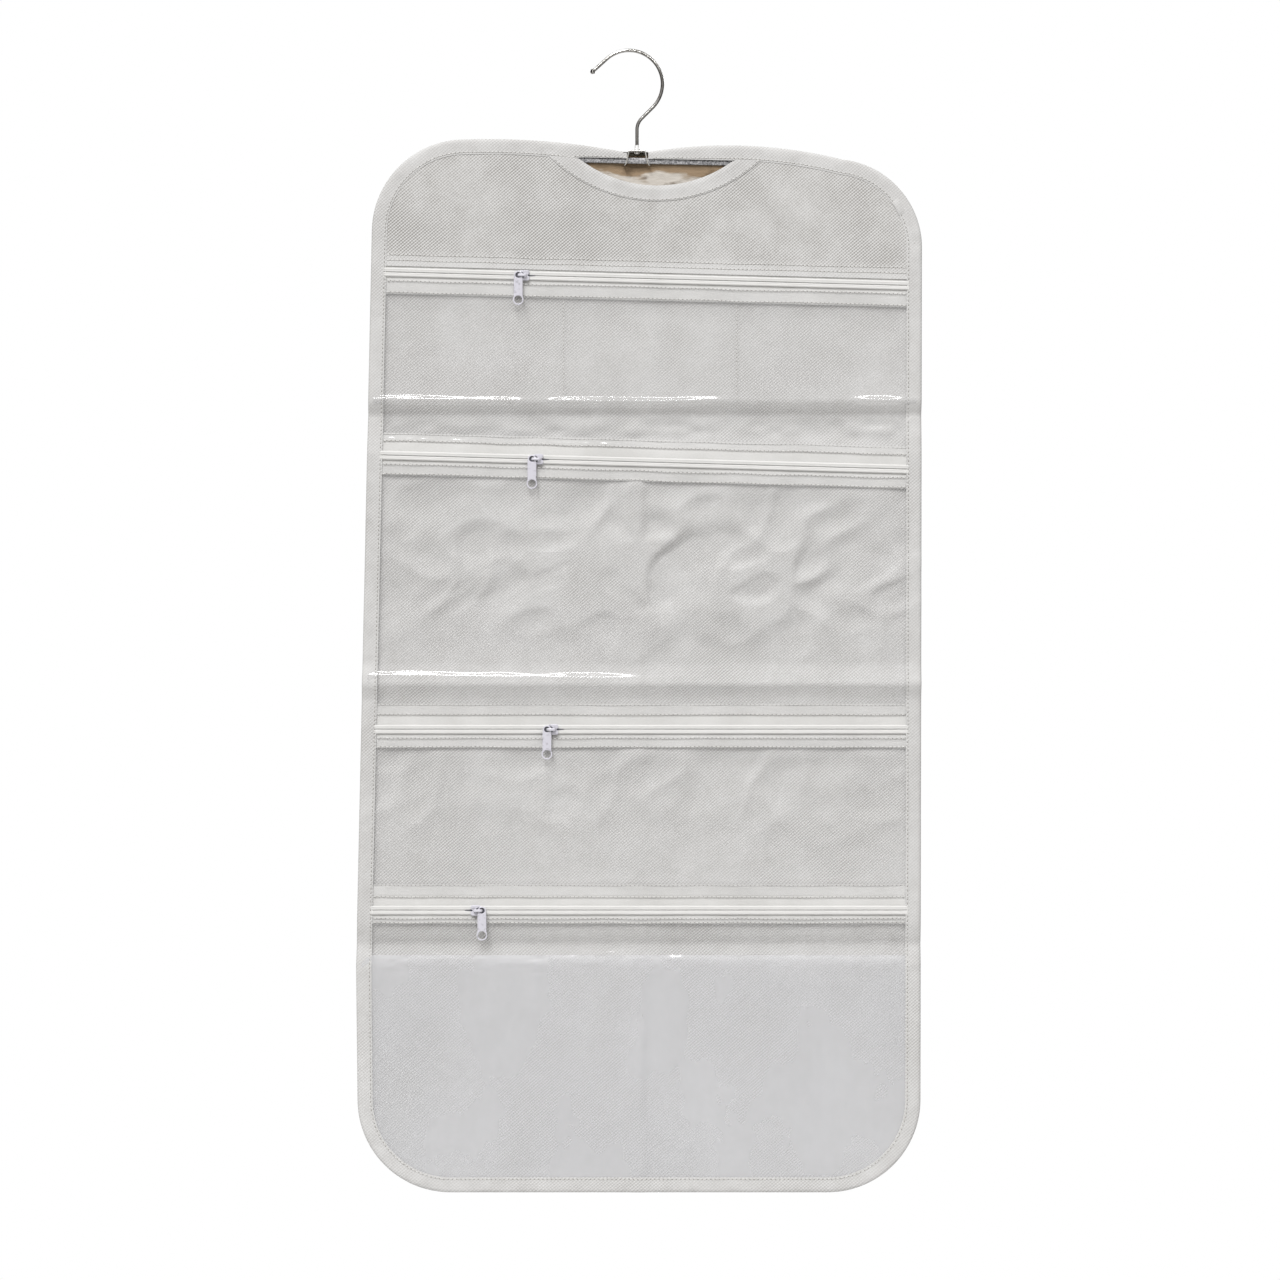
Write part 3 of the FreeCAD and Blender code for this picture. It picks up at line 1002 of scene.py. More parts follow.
def wrinkles(x: Array, z: Array) -> Array:
    """The wrinkles of the back cloth: gentle waves, and puckers in the second and third pockets.

    Args:
        x: Places across, seen from the front.
        z: Heights.

    Returns:
        How far the cloth is pushed back.
    """
    wavy = layered(x, z, (0.42, 60, 40, 3), (0.26, 25, 17, 4), (0.12, 10, 7, 5))
    rumpled = bump(z - (MOUNTAIN + 85 * MM), 50 * MM) * (0.6 + 0.6 * bump(x - 40 * MM, 95 * MM))
    rumpled = rumpled + 0.4 * bump(z - (MOUNTAIN - 72 * MM), 36 * MM)
    bent = x + 9 * MM * lumps(x, z, 40 * MM, 30 * MM, 8)
    slanted = lumps(bent + 0.8 * z, z - 0.45 * x, 44 * MM, 24 * MM, 6)
    upright = lumps(bent - 0.2 * z, z, 24 * MM, 50 * MM, 9)
    ridged = np.clip(1 - 2.2 * np.abs(slanted), -0.4, 1) + 0.8 * np.clip(1 - 2.6 * np.abs(upright), -0.2, 1)
    ridged = ridged + layered(x, z, (0.5, 17, 13, 7), (0.7, 38, 30, 13))
    from_centre = x - MIDDLE_X - 2 * MM - 1.5 * MM * lumps(x * 0, z, 1.0, 24 * MM, 10)
    centre = np.clip(1 - np.where(from_centre < 0, -from_centre / (18 * MM), from_centre / (4 * MM)), 0, 1)
    centre = centre * np.clip((VALLEY_1 - 34 * MM - z) / (12 * MM), 0, 1)
    centre = centre * (1 + lumps(x * 0, z, 1.0, 30 * MM, 10))
    below_fold = bump(z - (VALLEY_1 - 9 * MM), 7 * MM)
    pressed = layered(x, z, (1, 11, 6, 14), (0.6, 28, 8, 15))
    wavy = wavy - 3.5 * rumpled * ridged - 1.6 * centre + 1.2 * below_fold * pressed
    hanger = bump(z - CLOTH_TOP, 26 * MM)
    return np.clip(wavy * calm(x, z) * (1 - 0.75 * hanger), -3.0, 1.5) * MM


def relief(x: Array, z: Array, share: float = 0.3) -> Array:
    """How far the hanging cloth is pushed to the back.

    Args:
        x: Places across.
        z: Heights.
        share: How much of the back cloth's wrinkles the layer takes up. The folds it has in full.

    Returns:
        The push in metres.
    """
    return sum(crease.relief(z) for crease in CREASES) + share * wrinkles(x, z)


def bracket_room(x: Array, z: Array) -> Array:
    """How far the back layers stand off behind the bracket."""
    return 3.0 * MM * bump(x - BRACKET_X, 11 * MM) * bump(z - BRACKET_FOOT - 5 * MM, 12 * MM)


def bar_line(x: Array | float) -> Array | float:
    """The height of the hanger bar's middle, which slopes a little.

    Args:
        x: Places across, seen from the front.

    Returns:
        The height at each place.
    """
    low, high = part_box("hanger_bar")
    fall = (high[2] - low[2] - BAR_HEIGHT) / 2
    return (low[2] + high[2]) / 2 - fall * ((x - low[0]) / (high[0] - low[0]) * 2 - 1)


BRACKET_X = (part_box("swivel_bracket")[0][0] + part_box("swivel_bracket")[1][0]) / 2
BRACKET_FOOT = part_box("swivel_bracket")[0][2]
BAR_HEIGHT = 4 * MM
MOUTH_LEFT, MOUTH_RIGHT = -37 * MM, 74 * MM
CLOTH_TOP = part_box("edge_binding_a")[1][2]
CLOTH_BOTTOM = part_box("edge_binding_d")[0][2]


@dataclass
class Outline:
    """The outer edge of the cloth, as one closed line seen from the front."""

    shoulder_radius: float = 65 * MM
    foot_radius: float = 65 * MM
    hip_drop: float = 158 * MM
    spacing: float = 2.5 * MM
    points: Array = field(init=False)
    inward: Array = field(init=False)

    def __post_init__(self) -> None:
        """Works the line out from the frame's boxes, evenly spaced, going clockwise."""
        low, high = box("edge_binding_a")
        lower = box("edge_binding_b")[0]
        foot_low, foot_high = box("edge_binding_d")
        bracket_low, bracket_high = box("swivel_bracket")
        stem_x = (bracket_low.x + bracket_high.x) / 2
        lean = (lower.x - low.x) / (lower.z - low.z)
        top, bottom = high.z, foot_low.z
        shoulder_z = top - self.shoulder_radius
        shoulder_x = low.x + lean * (shoulder_z - low.z)
        shoulder = (shoulder_x + self.shoulder_radius, shoulder_z)
        dip_z = bracket_high.z - 0.7 * MM
        dips = [(stem_x - 10.6 * MM, dip_z), (stem_x + 10.4 * MM, dip_z)]
        crests = [(stem_x - 55.6 * MM, top - 2.1 * MM), (stem_x + 52.4 * MM, top - 4.4 * MM)]
        slope_start = (stem_x + 143.4 * MM, top - 14 * MM)
        slope_middle = (high.x - 15.3 * MM, top - 35 * MM)
        side_top = (high.x, top - 73.5 * MM)
        left_foot = (foot_low.x + self.foot_radius + 1 * MM, bottom + self.foot_radius)
        right_foot = (foot_high.x - self.foot_radius - 0.2 * MM, bottom + self.foot_radius)
        corners = [(foot_low.x, bottom + self.hip_drop)]
        corners += arc(shoulder, self.shoulder_radius, 180, 90, 40)
        corners += arc_through((shoulder[0], top), crests[0], dips[0])
        corners += arc_through(dips[1], crests[1], slope_start)
        corners += arc_through(slope_start, slope_middle, side_top)[1:]
        corners += arc(right_foot, self.foot_radius, 0, -90, 40)
        corners += arc(left_foot, self.foot_radius, -90, -180, 40)
        self.points = self.even(np.array(corners + corners[:1]))
        ahead = np.roll(self.points, -1, 0) - np.roll(self.points, 1, 0)
        ahead /= np.linalg.norm(ahead, axis=1)[:, None]
        self.inward = np.column_stack([ahead[:, 1], -ahead[:, 0]])

    def even(self, line: Array) -> Array:
        """A line with its points evenly spaced, less its last, which repeats the first.

        Args:
            line: The line's points.

        Returns:
            The points, evenly spaced.
        """
        length = travelled(line)
        stops = np.linspace(0, length[-1], round(length[-1] / self.spacing) + 1)[:-1]
        return np.column_stack([np.interp(stops, length, line[:, axis]) for axis in (0, 1)])

    def inset(self, distance: float) -> Array:
        """The line moved inwards."""
        return self.points + self.inward * distance

    def distance(self, x: Array, z: Array) -> Array:
        """How far places are from the line."""
        gaps = (x[:, None] - self.points[::3, 0]) ** 2 + (z[:, None] - self.points[::3, 1]) ** 2
        return np.sqrt(gaps.min(1))

    def runs(self, top: float, bottom: float) -> list[tuple[Array, Array]]:
        """The stretches of the line between two heights.

        Args:
            top: The upper height.
            bottom: The lower height.

        Returns:
            For each stretch its points and its inward directions, cut exactly at the heights.
        """
        count = len(self.points)
        inside = (self.points[:, 1] < top) & (self.points[:, 1] > bottom)
        starts = [k for k in range(count) if inside[k] and not inside[k - 1]]
        runs = []
        for start in starts:
            last = start
            while inside[(last + 1) % count]:
                last += 1
            order = np.arange(start, last + 1) % count
            points, inward = self.points[order], self.inward[order]
            for end, beyond in ((0, start - 1), (-1, (last + 1) % count)):
                here, there = points[end], self.points[beyond]
                level = top if there[1] >= top else bottom
                cut = here + (there - here) * (level - here[1]) / (there[1] - here[1])
                at = 0 if end == 0 else len(points)
                points = np.insert(points, at, cut, axis=0)
                inward = np.insert(inward, at, inward[end], axis=0)
            runs.append((points, inward))
        return runs


def inside(x: Array, z: Array, line: Array) -> Array:
    """Which of the places lie inside a closed line.

    Args:
        x: Places across, seen from the front.
        z: Heights.
        line: The closed line.

    Returns:
        True for each place inside.
    """
    found = np.zeros(len(x), bool)
    for (ax, az), (bx, bz) in zip(line, np.roll(line, -1, 0)):
        if az != bz:
            crossed = (az > z) != (bz > z)
            found ^= crossed & (x < (bx - ax) * (z - az) / (bz - az) + ax)
    return found


@dataclass(frozen=True)
class Cut:
    """A line that cloth is cut to: it keeps what is inside the line, or what is outside."""

    line: Array
    keep_inside: bool = True

    def missing(self, x: Array, z: Array) -> Array:
        """Which of the places are cut away."""
        return inside(x, z, self.line) != self.keep_inside

    def nearest(self, x: Array, z: Array) -> tuple[Array, Array]:
        """The nearest places on the line.

        Args:
            x: Places across, seen from the front.
            z: Heights.

        Returns:
            Their x and their z.
        """
        gaps = (x[:, None] - self.line[:, 0]) ** 2 + (z[:, None] - self.line[:, 1]) ** 2
        best = gaps.argmin(1)
        return self.line[best, 0], self.line[best, 1]


Edge = Callable[[Array], Array]


def level(z: float) -> Edge:
    """An edge at one height.

    Args:
        z: The height.

    Returns:
        The edge.
    """

    def edge(x: Array) -> Array:
        """The same height everywhere."""
        return np.full_like(x, z)

    return edge


def beside(line: ZipLine, rise: float) -> Edge:
    """An edge at a fixed rise above a zip's chain.

    Args:
        line: The zip's line.
        rise: How far above the chain it lies.

    Returns:
        The edge.
    """

    def edge(x: Array) -> Array:
        """The chain's height and the rise."""
        return line.height(x) + rise

    return edge


def cloth(name: str, top: Edge, bottom: Edge, cuts: Sequence[Cut], layer: Place | Callable,
          step: tuple[float, float] = (2.5 * MM, 2.5 * MM)) -> tuple[bpy.types.Object, float]:
    """A sheet that hangs between two edges, cut to lines at its sides.

    Args:
        name: The piece's name.
        top: Its upper edge.
        bottom: Its lower edge.
        cuts: The lines that it is cut to.
        layer: Gives its y for x and z.
        step: The size of its quads.

    Returns:
        The sheet, one layer thick, and its flat area.
    """
    middle = np.array([MIDDLE_X])
    tall = float(top(middle)[0] - bottom(middle)[0])

    def place(u: Array, v: Array) -> tuple[Array, Array, Array]:
        """Lays the sheet flat at no depth."""
        x = CAD_BOX[0].x + WIDE * u
        return x, np.zeros_like(x), top(x) + (bottom(x) - top(x)) * v

    sheet = grid(name, round(WIDE / step[0]), max(2, round(tall / step[1])), place)
    places = points_of(sheet)
    x, z = places[:, 0].copy(), places[:, 2].copy()
    gone = np.zeros(len(x), bool)
    for cut in cuts:
        missing = cut.missing(x, z)
        x[missing], z[missing] = cut.nearest(x[missing], z[missing])
        gone |= missing
    corners = face_corners(sheet)
    dropped = gone[corners].all(1)
    kept = corners[~dropped]
    wide = x[kept[:, [1, 2, 3, 0]]] + x[kept]
    rise = z[kept[:, [1, 2, 3, 0]]] - z[kept]
    area = abs(float((wide * rise).sum() / 2))
    set_points(sheet, np.column_stack([x, layer(x, z), z]))
    drop_faces(sheet, dropped)
    return sheet, area


def declare(sheet: bpy.types.Object, wide: float, long: float, area: float, held: str,
            rests_on: Sequence[str] = (), with_pieces: Sequence[bpy.types.Object] = ()) -> None:
    """Takes a cloth piece and the size of its cut, and does nothing with them."""
    list(rests_on)
    min(area, wide * long)
    list(with_pieces)


@dataclass(frozen=True)
class Span:
    """A stretch of cloth from one height to another that bends across one fold."""

    name: str
    joint: str
    top: float
    bottom: float
    reach: float = 3.5 * MM

    def bend(self, thing: bpy.types.Object, *nodes: str) -> bpy.types.Object:
        """Bakes a piece's place into its mesh and hides these CAD nodes; nothing here makes it bend across
        the span's fold.

        Args:
            thing: The piece.
            nodes: The CAD nodes that it stands in for.

        Returns:
            The piece.
        """
        joint = JOINTS[self.joint]
        x, y, z = joint["pos_m"]
        z + self.reach
        z - self.reach
        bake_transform(thing)
        if nodes:
            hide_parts(*nodes)
        report(thing)
        return thing


UPPER_CUT = MOUNTAIN + 92 * MM
LOWER_CUT = MOUNTAIN - 98 * MM
SPINE_3 = (joint_height("fold_3") + joint_height("fold_3_lower")) / 2
SPANS = (
    Span("header", "fold_1", CLOTH_TOP + 10 * MM, VALLEY_1),
    Span("upper", "fold_1_lower", VALLEY_1, UPPER_CUT),
    Span("middle", "fold_2", UPPER_CUT, LOWER_CUT, 5 * MM),
    Span("lower", "fold_3", LOWER_CUT, SPINE_3),
    Span("bottom", "fold_3_lower", SPINE_3, CLOTH_BOTTOM - 10 * MM),
)
BACK_NODES = {
    "header": ("back_panel_a",),
    "upper": ("back_panel_b", "fold_1_back_strip"),
    "middle": (),
    "lower": ("back_panel_c", "fold_3_back_strip"),
    "bottom": ("back_panel_d",),
}
BINDING_NODES = {
    "header": ("edge_binding_a",),
    "upper": ("edge_binding_b", "fold_1_binding"),
    "middle": (),
    "lower": ("edge_binding_c", "fold_3_binding"),
    "bottom": ("edge_binding_d",),
}


class Stitches:
    """Rows of stitches that are collected and then made as one mesh."""

    def __init__(self, name: str, pitch: float = 3.0 * MM, width: float = 0.75 * MM) -> None:
        """Starts with no stitches.

        Args:
            name: The piece's name.
            pitch: The length of a stitch with the gap after it.
            width: The thread's width.
        """
        self.name = name
        self.pitch = pitch
        self.width = width
        self.spots: list[Array] = []
        self.ways: list[Array] = []
        self.hole_spots: list[Array] = []
        self.hole_ways: list[Array] = []

    def row(self, line: Array) -> None:
        """Adds a row of stitches along a line of points in x, y and z.

        Args:
            line: The row's line.
        """
        length = travelled(line)
        count = max(1, int(length[-1] / self.pitch))
        ends = np.linspace(0, length[-1], count + 1)
        at = [np.column_stack([np.interp(ends + shift * self.pitch, length, line[:, axis])
                               for axis in range(3)])[:-1] for shift in (0.12, 0.84, 0.86, 1.1)]
        self.spots.append((at[0] + at[1]) / 2)
        self.ways.append((at[1] - at[0]) / 2)
        self.hole_spots.append((at[2] + at[3]) / 2)
        self.hole_ways.append((at[3] - at[2]) / 2)

    def build(self) -> bpy.types.Object:
        """Makes every stitch, and a dark lozenge of painted shade at each of the needle holes between them,
        as a copy of one small lozenge.

        Returns:
            The stitches and the painted-shade holes as one mesh.
        """
        bpy.ops.object.select_all(action="DESELECT")
        bpy.ops.mesh.primitive_uv_sphere_add(segments=6, ring_count=4, radius=1)
        seed = bpy.context.active_object
        shape = points_of(seed)
        faces = np.array([[*face.vertices, -1][:4] for face in seed.data.polygons])
        spots, ways = np.concatenate(self.spots), np.concatenate(self.ways)
        holes, hole_ways = np.concatenate(self.hole_spots), np.concatenate(self.hole_ways)
        thread = self.copies(shape, spots, ways, self.width / 2, 0.85)
        # Painted shade: flat dark lozenges at the needle holes.
        hole_shade = self.copies(shape, holes, hole_ways, self.width / 2, 0.3)
        places = np.concatenate([thread, hole_shade])
        count = len(shape)
        copies = (faces[None] + np.arange(len(places))[:, None, None] * count).reshape(-1, 4)
        short = np.tile(faces[:, 3] < 0, len(places))
        mesh = bpy.data.meshes.new(self.name)
        mesh.from_pydata(places.reshape(-1, 3).tolist(), [],
                         [face[:3] if lacks else face for face, lacks in zip(copies.tolist(), short)])
        seed.data = mesh
        seed.name = self.name
        in_edit_mode(seed, bpy.ops.mesh.normals_make_consistent, inside=False)
        dress(seed, THREAD)
        mesh.materials.append(HOLE_SHADE.material())
        dark = np.arange(len(mesh.polygons)) >= len(thread) * len(faces)
        mesh.polygons.foreach_set("material_index", dark.astype(np.int32))
        return seed

    @staticmethod
    def copies(shape: Array, spots: Array, ways: Array, half: float, height: float) -> Array:
        """Copies of a round shape, stretched along the seam.

        Args:
            shape: The shape's points, with its poles along z.
            spots: Where the copies go.
            ways: Half of each copy's length, as a direction.
            half: Half of their width.
            height: Their height over their width.

        Returns:
            The points of each copy.
        """
        across = np.cross(ways, (0, 1, 0))
        across /= np.linalg.norm(across, axis=1)[:, None] + 1e-12
        return (spots[:, None] + ways[:, None] * shape[None, :, 2:3]
                + across[:, None] * shape[None, :, 0:1] * half
                + np.array([0, 1, 0]) * shape[None, :, 1:2] * half * height)


@dataclass
class EdgeBinding:
    """The folded tape sewn round the cloth's edge, front and back."""

    outline: Outline
    width: float = 10.8 * MM
    cloth: float = 0.4 * MM
    seam_inset: float = 9.4 * MM
    mouth_half: float = 8.4 * MM
    lap_height: float = -105 * MM
    profile: tuple = ((10.8, -2.36), (10.3, -2.42), (9.4, -2.36), (7.5, -2.46), (5, -2.48), (2.6, -2.45),
                      (1.1, -2.2), (0.35, -1.6), (0.02, -0.8), (0, 0), (0.02, 0.8), (0.35, 1.6),
                      (1.1, 2.2), (2.6, 2.45), (5, 2.48), (7.5, 2.46), (9.4, 2.36), (10.3, 2.42),
                      (10.8, 2.36))

    def build(self) -> None:
        """Makes the tape and its seams, one piece to a span."""
        for span in SPANS:
            parts, stitches, length = [], Stitches(f"binding_seam_{span.name}"), 0.0
            for number, (points, inward) in enumerate(self.outline.runs(span.top, span.bottom)):
                parts.append(self.tape(f"binding_{span.name}_{number}", points, inward))
                if points[:, 1].max() > CLOTH_TOP - 10 * MM:
                    parts.append(self.lap(points, inward))
                length += float(np.linalg.norm(np.diff(points, axis=0), axis=1).sum())
                self.sew(stitches, points, inward)
            seam = stitches.build()
            span.bend(seam)
            tape = parts[0] if len(parts) == 1 else join(parts[0].name, parts)
            tape.name = f"edge_binding_{span.name}"
            thicken(tape, self.cloth, -1)
            dress(tape, BINDING)
            declare(tape, 2 * self.width + 4.7 * MM, length, 1, "folded",
                    [f"back_cloth_{span.name}"], [seam])
            span.bend(tape, *BINDING_NODES[span.name])

    def pucker(self, x: Array, z: Array, depth: Array) -> Array:
        """How far the tape stands off, between its seam and its edge.

        Args:
            x: Places across, seen from the front.
            z: Heights.
            depth: How far in from the edge the places are.

        Returns:
            The distance that it stands off.
        """
        free = np.sin(np.clip(depth / self.seam_inset, 0, 1) * math.pi)
        edge = 0.3 * np.clip((depth - self.seam_inset) / (self.width - self.seam_inset), 0, 1)
        return (free + edge) * layered(x, z, (0.3, 8, 6, 11), (0.2, 4, 3.5, 12)) * MM

    def narrowing(self, points: Array) -> Array:
        """How much of its width the front half keeps: less over the header's mouth, above the bar.

        Args:
            points: The points of the cloth's edge there.

        Returns:
            The share of the width at each point.
        """
        x, z = points[:, 0], points[:, 1]
        room = z - (bar_line(x) + BAR_HEIGHT / 2 - 0.7 * MM)
        over = np.clip((x - MOUTH_LEFT + 2 * MM) / (6 * MM), 0, 1)
        over = over * np.clip((MOUTH_RIGHT + 1 * MM - x) / (6 * MM), 0, 1) * (z > CLOTH_TOP - 30 * MM)
        return 1 - over * (1 - np.clip(room / self.width, 0.2, 1))

    def tape(self, name: str, points: Array, inward: Array) -> bpy.types.Object:
        """One stretch of tape, one layer thick, open where the bracket stands.

        Args:
            name: The piece's name.
            points: The points of the cloth's edge there.
            inward: Their directions into the cloth.

        Returns:
            The tape, one layer thick.
        """
        profile = np.array(self.profile) * MM
        count, levels, kept = len(points), len(profile), self.narrowing(points)

        def place(u: Array, v: Array) -> tuple[Array, Array, Array]:
            """Wraps the grid round the edge: u runs along it and v from the front to the back.

            Args:
                u: Shares along the grid's first way.
                v: Shares along its second way.

            Returns:
                The x, y and z of each point.
            """
            along = np.rint(u * (count - 1)).astype(int)
            depth, y = profile[np.rint(v * (levels - 1)).astype(int)].T
            depth = np.where(y < 0, depth * kept[along], depth)
            spot = points[along] + inward[along] * depth[:, None]
            x, z = spot[:, 0], spot[:, 1]
            side = np.sign(y) * self.pucker(x, z, depth)
            return x, y + side + relief(x, z) + bracket_room(x, z) * (y > 0), z

        strip = grid(name, count - 1, levels - 1, place)
        places, corners = points_of(strip), face_corners(strip)
        middle = places[corners].mean(1)
        near = np.abs(middle[:, 0] - BRACKET_X) < self.mouth_half
        opened = near & (middle[:, 1] < 1.0 * MM) & (middle[:, 2] > BRACKET_FOOT - 2 * MM)
        if opened.any():
            drop_faces(strip, opened)
        in_edit_mode(strip, bpy.ops.mesh.flip_normals)
        return strip

    def lap(self, points: Array, inward: Array) -> bpy.types.Object:
        """The tape's cut end, turned under and sewn over its start on the right shoulder.

        Args:
            points: The points of the cloth's edge there.
            inward: Their directions into the cloth.

        Returns:
            The lap, one layer thick.
        """
        near = (points[:, 0] > MIDDLE_X) & (np.abs(points[:, 1] - self.lap_height) < 6.5 * MM)
        spots, ways = points[near], inward[near]

        def place(u: Array, v: Array) -> tuple[Array, Array, Array]:
            """Lays the grid on the front: u runs along the tape and v across it, inwards.

            Args:
                u: Shares along the grid's first way.
                v: Shares along its second way.

            Returns:
                The x, y and z of each point.
            """
            along = np.rint(u * (len(spots) - 1)).astype(int)
            depth = (5.2 + 5.4 * v + 0.8 * u) * MM
            spot = spots[along] + ways[along] * depth[:, None]
            rim = np.minimum(np.minimum(u, 1 - u) * 2, np.minimum(v, 1 - v) * 2)
            y = -2.5 * MM - 0.6 * MM * np.sqrt(np.clip(rim * 3, 0, 1))
            return spot[:, 0], y + relief(spot[:, 0], spot[:, 1]), spot[:, 1]

        return grid("binding_lap", len(spots) - 1, 6, place)

    def sew(self, stitches: Stitches, points: Array, inward: Array) -> None:
        """Adds the tape's seam along one stretch, on the front and on the back.

        Args:
            stitches: The seam that the rows are added to.
            points: The points of the cloth's edge there.
            inward: Their directions into the cloth.
        """
        for side in (-1, 1):
            inset = self.seam_inset * (self.narrowing(points) if side < 0 else np.ones(len(points)))
            spot = points + inward * inset[:, None]
            x, z = spot[:, 0], spot[:, 1]
            clear = (np.abs(x - BRACKET_X) > self.mouth_half) | (z < BRACKET_FOOT)
            y = side * 2.44 * MM + relief(x, z) + bracket_room(x, z) * (side > 0)
            line = np.column_stack([x, y, z])
            gaps = np.flatnonzero(~clear) if side < 0 else np.array([], int)
            for piece in np.split(line, gaps):
                if len(piece) > 3:
                    stitches.row(piece[1:])


@dataclass
class BackCloth:
    """The one sheet that everything is sewn to, seen from behind and through the pockets."""

    outline: Outline
    thickness: float = 0.5 * MM
    draw: float = 1.9 * MM
    draw_reach: float = 17 * MM
    shoulder: float = -88 * MM
    sewn_draw: float = 1.15 * MM
    sewn_reach: float = 27 * MM

    def build(self) -> None:
        """Makes the sheet in stretches that meet between the folds."""
        cut = Cut(self.outline.inset(2 * MM))

        def layer(x: Array, z: Array) -> Array:
            """The sheet's depth, with room for the bracket, and drawn forward at the sides.

            Args:
                x: Places across, seen from the front.
                z: Heights.

            Returns:
                The y at each place.
            """
            sides = self.outline.distance(x, z)
            drawn = np.clip((self.draw_reach - sides) / (10 * MM), 0, 1)
            drawn = drawn * np.clip((self.shoulder - z) / (14 * MM), 0, 1)
            drawn = drawn * drawn * (3 - 2 * drawn)
            wavy = relief(x, z, 1.0 - 0.7 * drawn)
            near = np.minimum.reduce([np.abs(z - line.height(x)) for line in ZIPS])
            sewn = np.clip((self.sewn_reach - near) / (12 * MM), 0, 1)
            sewn = sewn * sewn * (3 - 2 * sewn)
            crease = CREASES[0]
            held = np.clip((z - crease.z + crease.below) / (12 * MM), 0, 1) * (z < crease.z) * (1 - drawn)
            forward = np.maximum(self.draw * drawn, self.sewn_draw * sewn * (1 - held))
            back = held * (crease.depth - crease.relief(z))
            return LAYER.back_cloth + wavy + bracket_room(x, z) - forward + back

        for span in SPANS:
            name = f"back_cloth_{span.name}"
            sheet, area = cloth(name, level(span.top), level(span.bottom), [cut], layer, (2 * MM, 2 * MM))
            thicken(sheet, self.thickness)
            dress(sheet, CLOTH)
            declare(sheet, WIDE, span.top - span.bottom, area, "hung", ["hanger_bar"])
            span.bend(sheet, *BACK_NODES[span.name])


@dataclass
class Header:
    """The header's front cloth, with its half-moon mouth, the mouth's binding and the tan sheet behind the
    bar that carries painted shade.
    """

    outline: Outline
    left: tuple = (MOUTH_LEFT, -73.3 * MM)
    right: tuple = (MOUTH_RIGHT, -75.7 * MM)
    lowest: tuple = (18.5 * MM, -93.7 * MM)
    band: float = 10.8 * MM
    thickness: float = 0.45 * MM
    tall: float = 100 * MM
    cloth_to_chain: float = 4.4 * MM
    seam_top: float = -74 * MM
    count: int = 90
    lining_top: float = -68 * MM
    lining_foot: float = -104 * MM
    lining_size: tuple = (150 * MM, 36 * MM)

    def mouth(self, grow: float) -> Array:
        """The mouth's outline, grown by a distance below and at its sides.

        Args:
            grow: The distance.

        Returns:
            The outline as x and z.
        """
        left, lowest, right = (np.array(spot) for spot in (self.left, self.lowest, self.right))
        reach = grow * 1.75
        lower = arc_through((left[0] - reach, left[1]), (lowest[0], lowest[1] - grow),
                            (right[0] + reach, right[1]), self.count)
        upper = [(right[0] + reach, CLOTH_TOP), (left[0] - reach, CLOTH_TOP)]
        return np.array(lower + upper)

    def build(self) -> None:
        """Makes the front cloth, the mouth's band with its seam, and the tan painted-shade sheet."""
        sides = Cut(self.outline.inset(2 * MM))
        mouth = self.mouth(1.0 * MM)
        chain = beside(ZIPS[0], self.cloth_to_chain)

        def layer(x: Array, z: Array) -> Array:
            """The front cloth's depth."""
            return LAYER.front_cloth + relief(x, z)

        sheet, area = cloth("header_front_cloth", level(CLOTH_TOP), chain,
                            [Cut(mouth, keep_inside=False), sides], layer)
        thicken(sheet, self.thickness)
        dress(sheet, FRONT_CLOTH)
        declare(sheet, WIDE, self.tall, area, "hung", ["hanger_bar"])
        ride(sheet, "header", "header_front_panel")
        self.make_band()
        self.make_lining(sides)

    def make_band(self) -> None:
        """The tape folded over the mouth's edge, and its seam."""
        inner, outer = (self.mouth(grow)[:self.count] for grow in (0.0, self.band))
        steps = 6
        below = outer[:, 1] < self.seam_top

        def place(u: Array, v: Array) -> tuple[Array, Array, Array]:
            """Wraps the grid over the edge: u runs along it, v from the front's foot to the back's.

            Args:
                u: Shares along the grid's first way.
                v: Shares along its second way.

            Returns:
                The x, y and z of each point.
            """
            along = np.rint(u * (self.count - 1)).astype(int)
            row = np.rint(v * 2 * steps)
            share = np.abs(row - steps) / steps
            spot = inner[along] + (outer[along] - inner[along]) * share[:, None]
            front = row < steps
            lift = np.where(share < 0.05, 0.0, 0.45 * MM) * np.where(front, -1, 1)
            edge = bump(share, 0.55) * 0.12 * MM * np.where(front, -1, 0)
            x, z = spot[:, 0], spot[:, 1]
            puckers = (0.16 * lumps(x, z, 8 * MM, 5 * MM, 21)) * MM * np.sin(share * math.pi)
            y = LAYER.front_cloth + relief(x, z) + lift + edge + np.where(front, -1, 0) * puckers
            return x, y, z

        strip = grid("mouth_binding", self.count - 1, 2 * steps, place)
        in_edit_mode(strip, bpy.ops.mesh.normals_make_consistent, inside=False)
        thicken(strip, 0.3 * MM)
        dress(strip, BINDING)
        stitches = Stitches("mouth_seam")
        sewn = (outer - (outer - inner) * 0.08)[below]
        y = LAYER.front_cloth + relief(sewn[:, 0], sewn[:, 1]) - 0.68 * MM
        stitches.row(np.column_stack([sewn[:, 0], y, sewn[:, 1]]))
        seam = ride(stitches.build(), "header")
        length = float(np.linalg.norm(np.diff(inner, axis=0), axis=1).sum())
        declare(strip, 2 * self.band, length * 1.12, 1, "folded", ["header_front_cloth"], [seam])
        ride(strip, "header", "cutout_binding")

    def make_lining(self, sides: Cut) -> None:
        """The rumpled tan sheet behind the bar, coloured as painted shade.

        Args:
            sides: The line that it is cut to at its sides.
        """
        window = Cut(self.mouth(9 * MM))

        def layer(x: Array, z: Array) -> Array:
            """Just in front of the back cloth, rumpled.

            Args:
                x: Places across, seen from the front.
                z: Heights.

            Returns:
                The y at each place.
            """
            rumple = layered(x, z, (0.5, 10, 6, 31), (0.25, 4.5, 3.5, 32))
            return (LAYER.back_cloth - 0.45 * MM + relief(x, z, 1) + (rumple - 0.75) * 0.5 * MM
                    + bracket_room(x, z))

